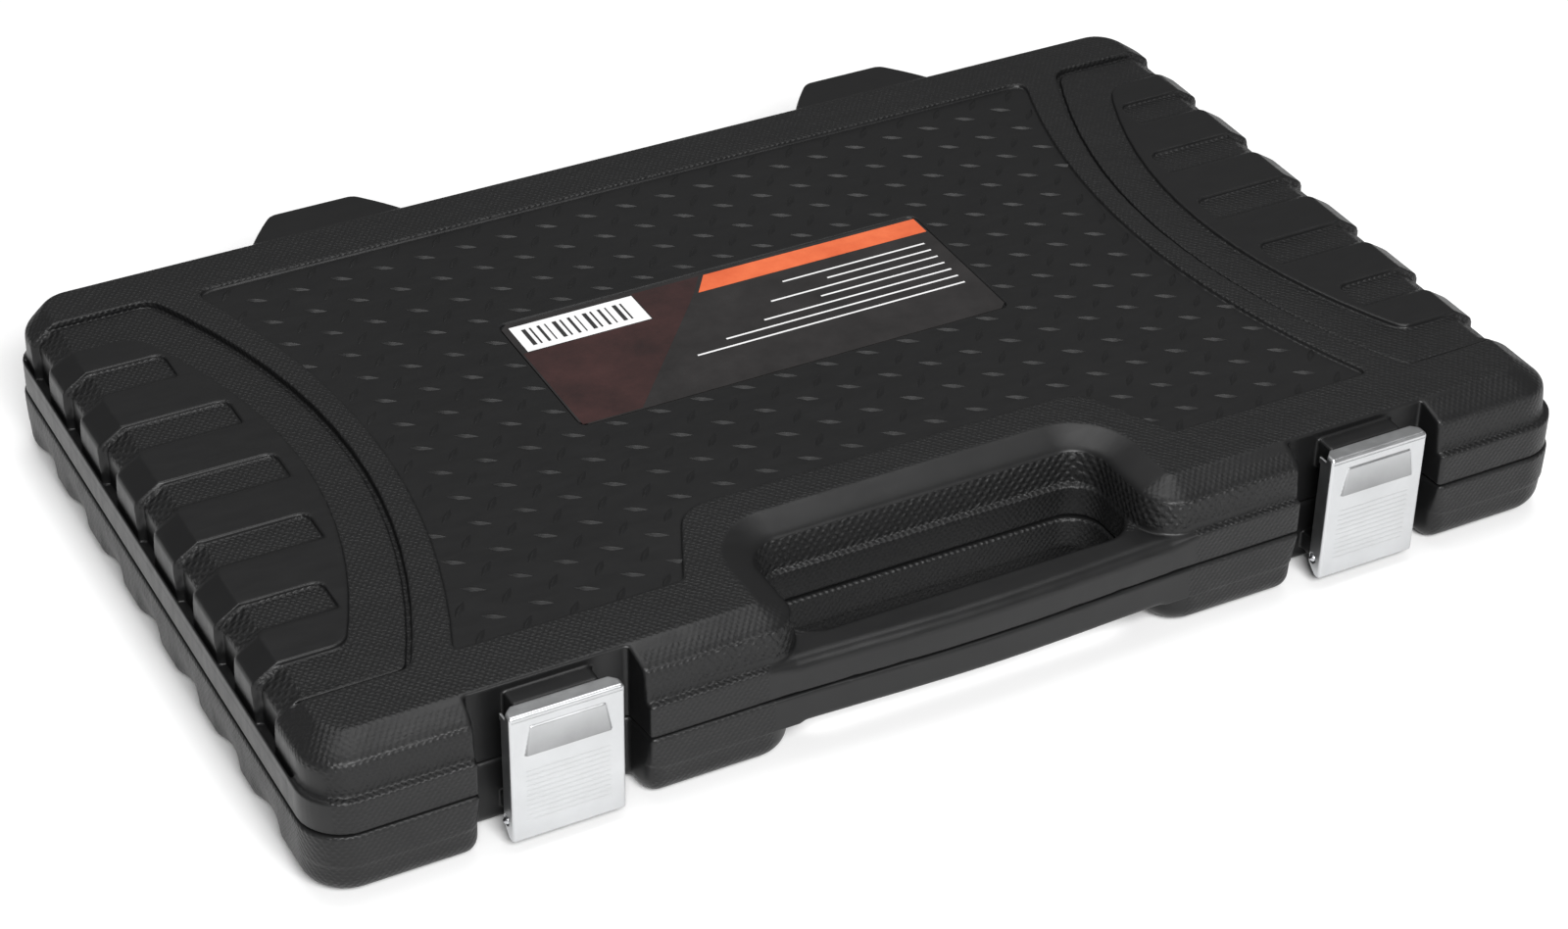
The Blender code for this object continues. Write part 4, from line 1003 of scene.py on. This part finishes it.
def film(name, low, high, rough):
    """Printed film with a slight mottle in its ink and shallow wrinkles."""
    n = Nodes(name)
    point = n.object_point()
    mottle = n.noise(point, 55.0, 5.0, 0.65)
    dots = n.noise(point, 1700.0, 2.0)
    wrinkle = n.noise(point, 34.0, 3.0, 0.5, (1.0, 2.2, 1.0))
    colour = n.ramp(n.math("ADD", n.math("MULTIPLY", mottle, 0.8), n.math("MULTIPLY", dots, 0.2)),
                    ((0.3, low), (0.7, high)))
    roughness = n.between(mottle, 0.3, 0.7, rough - 0.05, rough + 0.05)
    return n.set(colour=colour, roughness=roughness, normal=n.bump(wrinkle, 0.0006), coat=0.35,
                 coat_roughness=0.12)


def floor_paint():
    n = Nodes("floor_paint")
    point = n.object_point()
    tone = n.noise(point, 3.0, 3.0)
    colour = n.ramp(tone, ((0.3, (0.86, 0.86, 0.86)), (0.7, (0.89, 0.89, 0.89))))
    return n.set(colour=colour, roughness=n.between(tone, 0.3, 0.7, 0.6, 0.7))


# ---- assembly

def finish_piece(obj, body, slot, *nodes):
    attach(obj, body)
    if nodes:
        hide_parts(*nodes)


def build_case(plastic):
    base = net_object("base_moulding", base_field(), plastic, 190000)
    set_attribute(base, "grain_and_painted_shade", base_grain(*vertex_values(base)))
    finish_piece(base, "base", "case_plastic", "base_shell")
    lid = net_object("lid_moulding", lid_field(), plastic, 195000)
    set_attribute(lid, "grain_and_painted_shade", lid_grain(*vertex_values(lid)))
    finish_piece(lid, "lid", "case_plastic", "lid_shell")
    finish_piece(build_treads(plastic), "lid", "case_plastic")


def build_label(dark, amber, brick, white, black):
    """A generic label: a dark film with a slanted band, a wedge, a white box with bars, and plain lines."""
    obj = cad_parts["label"]
    obj.data.materials.clear()
    obj.data.materials.append(dark)
    shapes = [
        (amber, [(-11, 45), (85, 45), (85, 55), (-4, 55)]),
        (brick, [(-85, -13), (-62, -13), (-20, 36.5), (-85, 36.5)]),
        (brick, [(-33.5, 36.5), (-20, 36.5), (-12.6, 45.5), (-6, 55), (-33.5, 55)]),
        (white, [(-83, 37), (-34, 37), (-34, 54), (-83, 54)]),
    ]
    for k in range(14):
        left = -79.5 + 3.0 * k
        width = (1.7, 0.8, 1.2, 0.6)[k % 4]
        shapes.append((black, [(left, 40), (left + width, 40), (left + width, 51), (left, 51)]))
    end = 80
    for row, start in enumerate((20, 36, 10, 28, 2, -16, -30)):
        low = 37.5 - 5.0 * row
        shapes.append((white, [(start, low), (end, low), (end, low + 0.8), (start, low + 0.8)]))
    bm = bmesh.new()
    materials = [amber, brick, white, black]
    for material, outline in shapes:
        low, high = LABEL_TOP - 0.05, LABEL_TOP + 0.03 + 0.02 * (material is black)
        loops = []
        for z in (low, high):
            loops.append([bm.verts.new(Vector((x, y + SHIFT_Y, z)) * MM) for x, y in outline])
        caps = [bm.faces.new(list(reversed(loops[0]))), bm.faces.new(loops[1])]
        for i in range(len(outline)):
            j = (i + 1) % len(outline)
            caps.append(bm.faces.new((loops[0][i], loops[0][j], loops[1][j], loops[1][i])))
        for face in caps:
            face.material_index = materials.index(material)
    bmesh.ops.recalc_face_normals(bm, faces=bm.faces)
    bmesh.ops.triangulate(bm, faces=bm.faces)
    mesh = bpy.data.meshes.new("label_print")
    bm.to_mesh(mesh)
    bm.free()
    for material in materials:
        mesh.materials.append(material)
    inks = bpy.data.objects.new("label_inks", mesh)
    bpy.context.scene.collection.objects.link(inks)
    finish_piece(inks, "lid", "label_print")


def build_latches(material, pin_material):
    for side, word in ((-1, "left"), (1, "right")):
        latch = net_object(f"latch_{word}_sheet", latch_field(side), material, 60000)
        x, y, z = vertex_values(latch)[0].T
        louvre = (y < -148.95) & (z > 37.9) & (z < 48.9) & (np.abs(x - side * LATCH_X) < 15.6)
        # Painted shade on the louvre: its zinc colour is darkened by 0.95 at the bottom, falling to 0.35 at
        # the top, through this attribute.
        set_attribute(latch, "grain_and_painted_shade", louvre * (0.95 - 0.6 * np.clip((z - 38.0) / 11.0, 0, 1)))
        finish_piece(latch, f"latch_{word}", "latch_zinc", f"latch_{word}_plate")
        build_pin(f"latch_pin_{word}", "base", pin_material)
        build_pin(f"hinge_pin_{word}", "base", pin_material)


def build_wrenches(chrome, ring_steel):
    for size in SIZES:
        d = wrench_sizes(size)
        body = "base" if size in BASE_SIZES else "lid"
        move = to_wrench_frame(size)
        tag = f"wrench_{size:02d}"
        for part, field, where, material, slot, faces in (
                ("handle", handle_field, body, chrome, "wrench_chrome", 26000),
                ("flex_head", head_field, body, chrome, "wrench_chrome", 16000),
                ("ratchet_ring", ring_field, f"ring_{size:02d}", ring_steel, "ring_steel", 14000)):
            obj = net_object(f"{tag}_{part}_fine", field(size, d), material, faces, move)
            finish_piece(obj, where, slot, f"{tag}_{part}")


def add_light(name, at, aim, size, power):
    data = bpy.data.lights.new(name, "AREA")
    data.shape = "RECTANGLE"
    data.size, data.size_y = size
    data.energy = power
    light = bpy.data.objects.new(name, data)
    light.location = at
    light.rotation_euler = (Vector(aim) - Vector(at)).to_track_quat("-Z", "Y").to_euler()
    bpy.context.scene.collection.objects.link(light)


def build_stage():
    floor_mesh = bpy.data.meshes.new("floor")
    corners = [(-6, -6, -0.0005), (6, -6, -0.0005), (6, 6, -0.0005), (-6, 6, -0.0005)]
    floor_mesh.from_pydata(corners, [], [(0, 1, 2, 3)])
    floor_mesh.materials.append(floor_paint())
    floor = bpy.data.objects.new("floor", floor_mesh)
    bpy.context.scene.collection.objects.link(floor)
    world = bpy.data.worlds.new("studio")
    world.use_nodes = True
    world.node_tree.nodes["Background"].inputs["Color"].default_value = (1.0, 1.0, 1.0, 1.0)
    world.node_tree.nodes["Background"].inputs["Strength"].default_value = 0.21
    bpy.context.scene.world = world
    bpy.context.scene.view_settings.view_transform = "Standard"
    middle = (0.0, 0.0, 0.03)
    add_light("key", (-0.45, -2.05, 1.8), middle, (1.5, 0.9), 103.0)
    add_light("fill", (-2.4, 0.5, 1.3), middle, (1.2, 1.0), 1.5)
    add_light("top", (0.3, 0.6, 3.0), middle, (2.0, 1.6), 44.0)


def build_camera():
    """A long lens in front of the left corner, at a third of a right angle above the floor."""
    azimuth, elevation, roll = (math.radians(v) for v in (-28.52, 35.12, 1.04))
    back = Vector((math.sin(azimuth) * math.cos(elevation), -math.cos(azimuth) * math.cos(elevation),
                   math.sin(elevation)))
    right = Vector((math.cos(azimuth), math.sin(azimuth), 0.0))
    up = back.cross(right)
    turned_right = right * math.cos(roll) + up * math.sin(roll)
    turned_up = up * math.cos(roll) - right * math.sin(roll)
    data = bpy.data.cameras.new("camera")
    data.lens = 81.85
    data.sensor_width = 36.0
    camera = bpy.data.objects.new("camera", data)
    place_at = Vector((0.00306, -0.00496, -0.0008)) + back * 1.31007
    axes = Matrix((turned_right, turned_up, back)).transposed()
    camera.matrix_world = Matrix.Translation(place_at) @ axes.to_4x4()
    bpy.context.scene.collection.objects.link(camera)
    bpy.context.scene.camera = camera


def main():
    build_stage()
    build_camera()
    build_case(case_plastic())
    build_label(film("label_film", (0.009, 0.008, 0.008), (0.020, 0.018, 0.018), 0.24),
                film("ink_amber", (0.55, 0.085, 0.025), (0.72, 0.15, 0.05), 0.36),
                film("ink_brick", (0.014, 0.005, 0.005), (0.036, 0.010, 0.009), 0.30),
                film("ink_white", (0.72, 0.72, 0.72), (0.82, 0.82, 0.82), 0.40),
                film("ink_black", (0.012, 0.012, 0.012), (0.02, 0.02, 0.02), 0.40))
    pin_material = steel("pin_steel_drawn", (0.45, 0.46, 0.48), (0.60, 0.61, 0.63), 0.22, 0.34,
                         (0.1, 1.0, 1.0))
    build_latches(zinc(), pin_material)
    build_wrenches(
        steel("wrench_chrome_satin", (0.58, 0.59, 0.61), (0.72, 0.73, 0.75), 0.13, 0.24, (0.2, 1.0, 1.0)),
        steel("ring_steel_machined", (0.30, 0.30, 0.32), (0.44, 0.44, 0.46), 0.26, 0.38, (1.0, 1.0, 0.1)))


main()
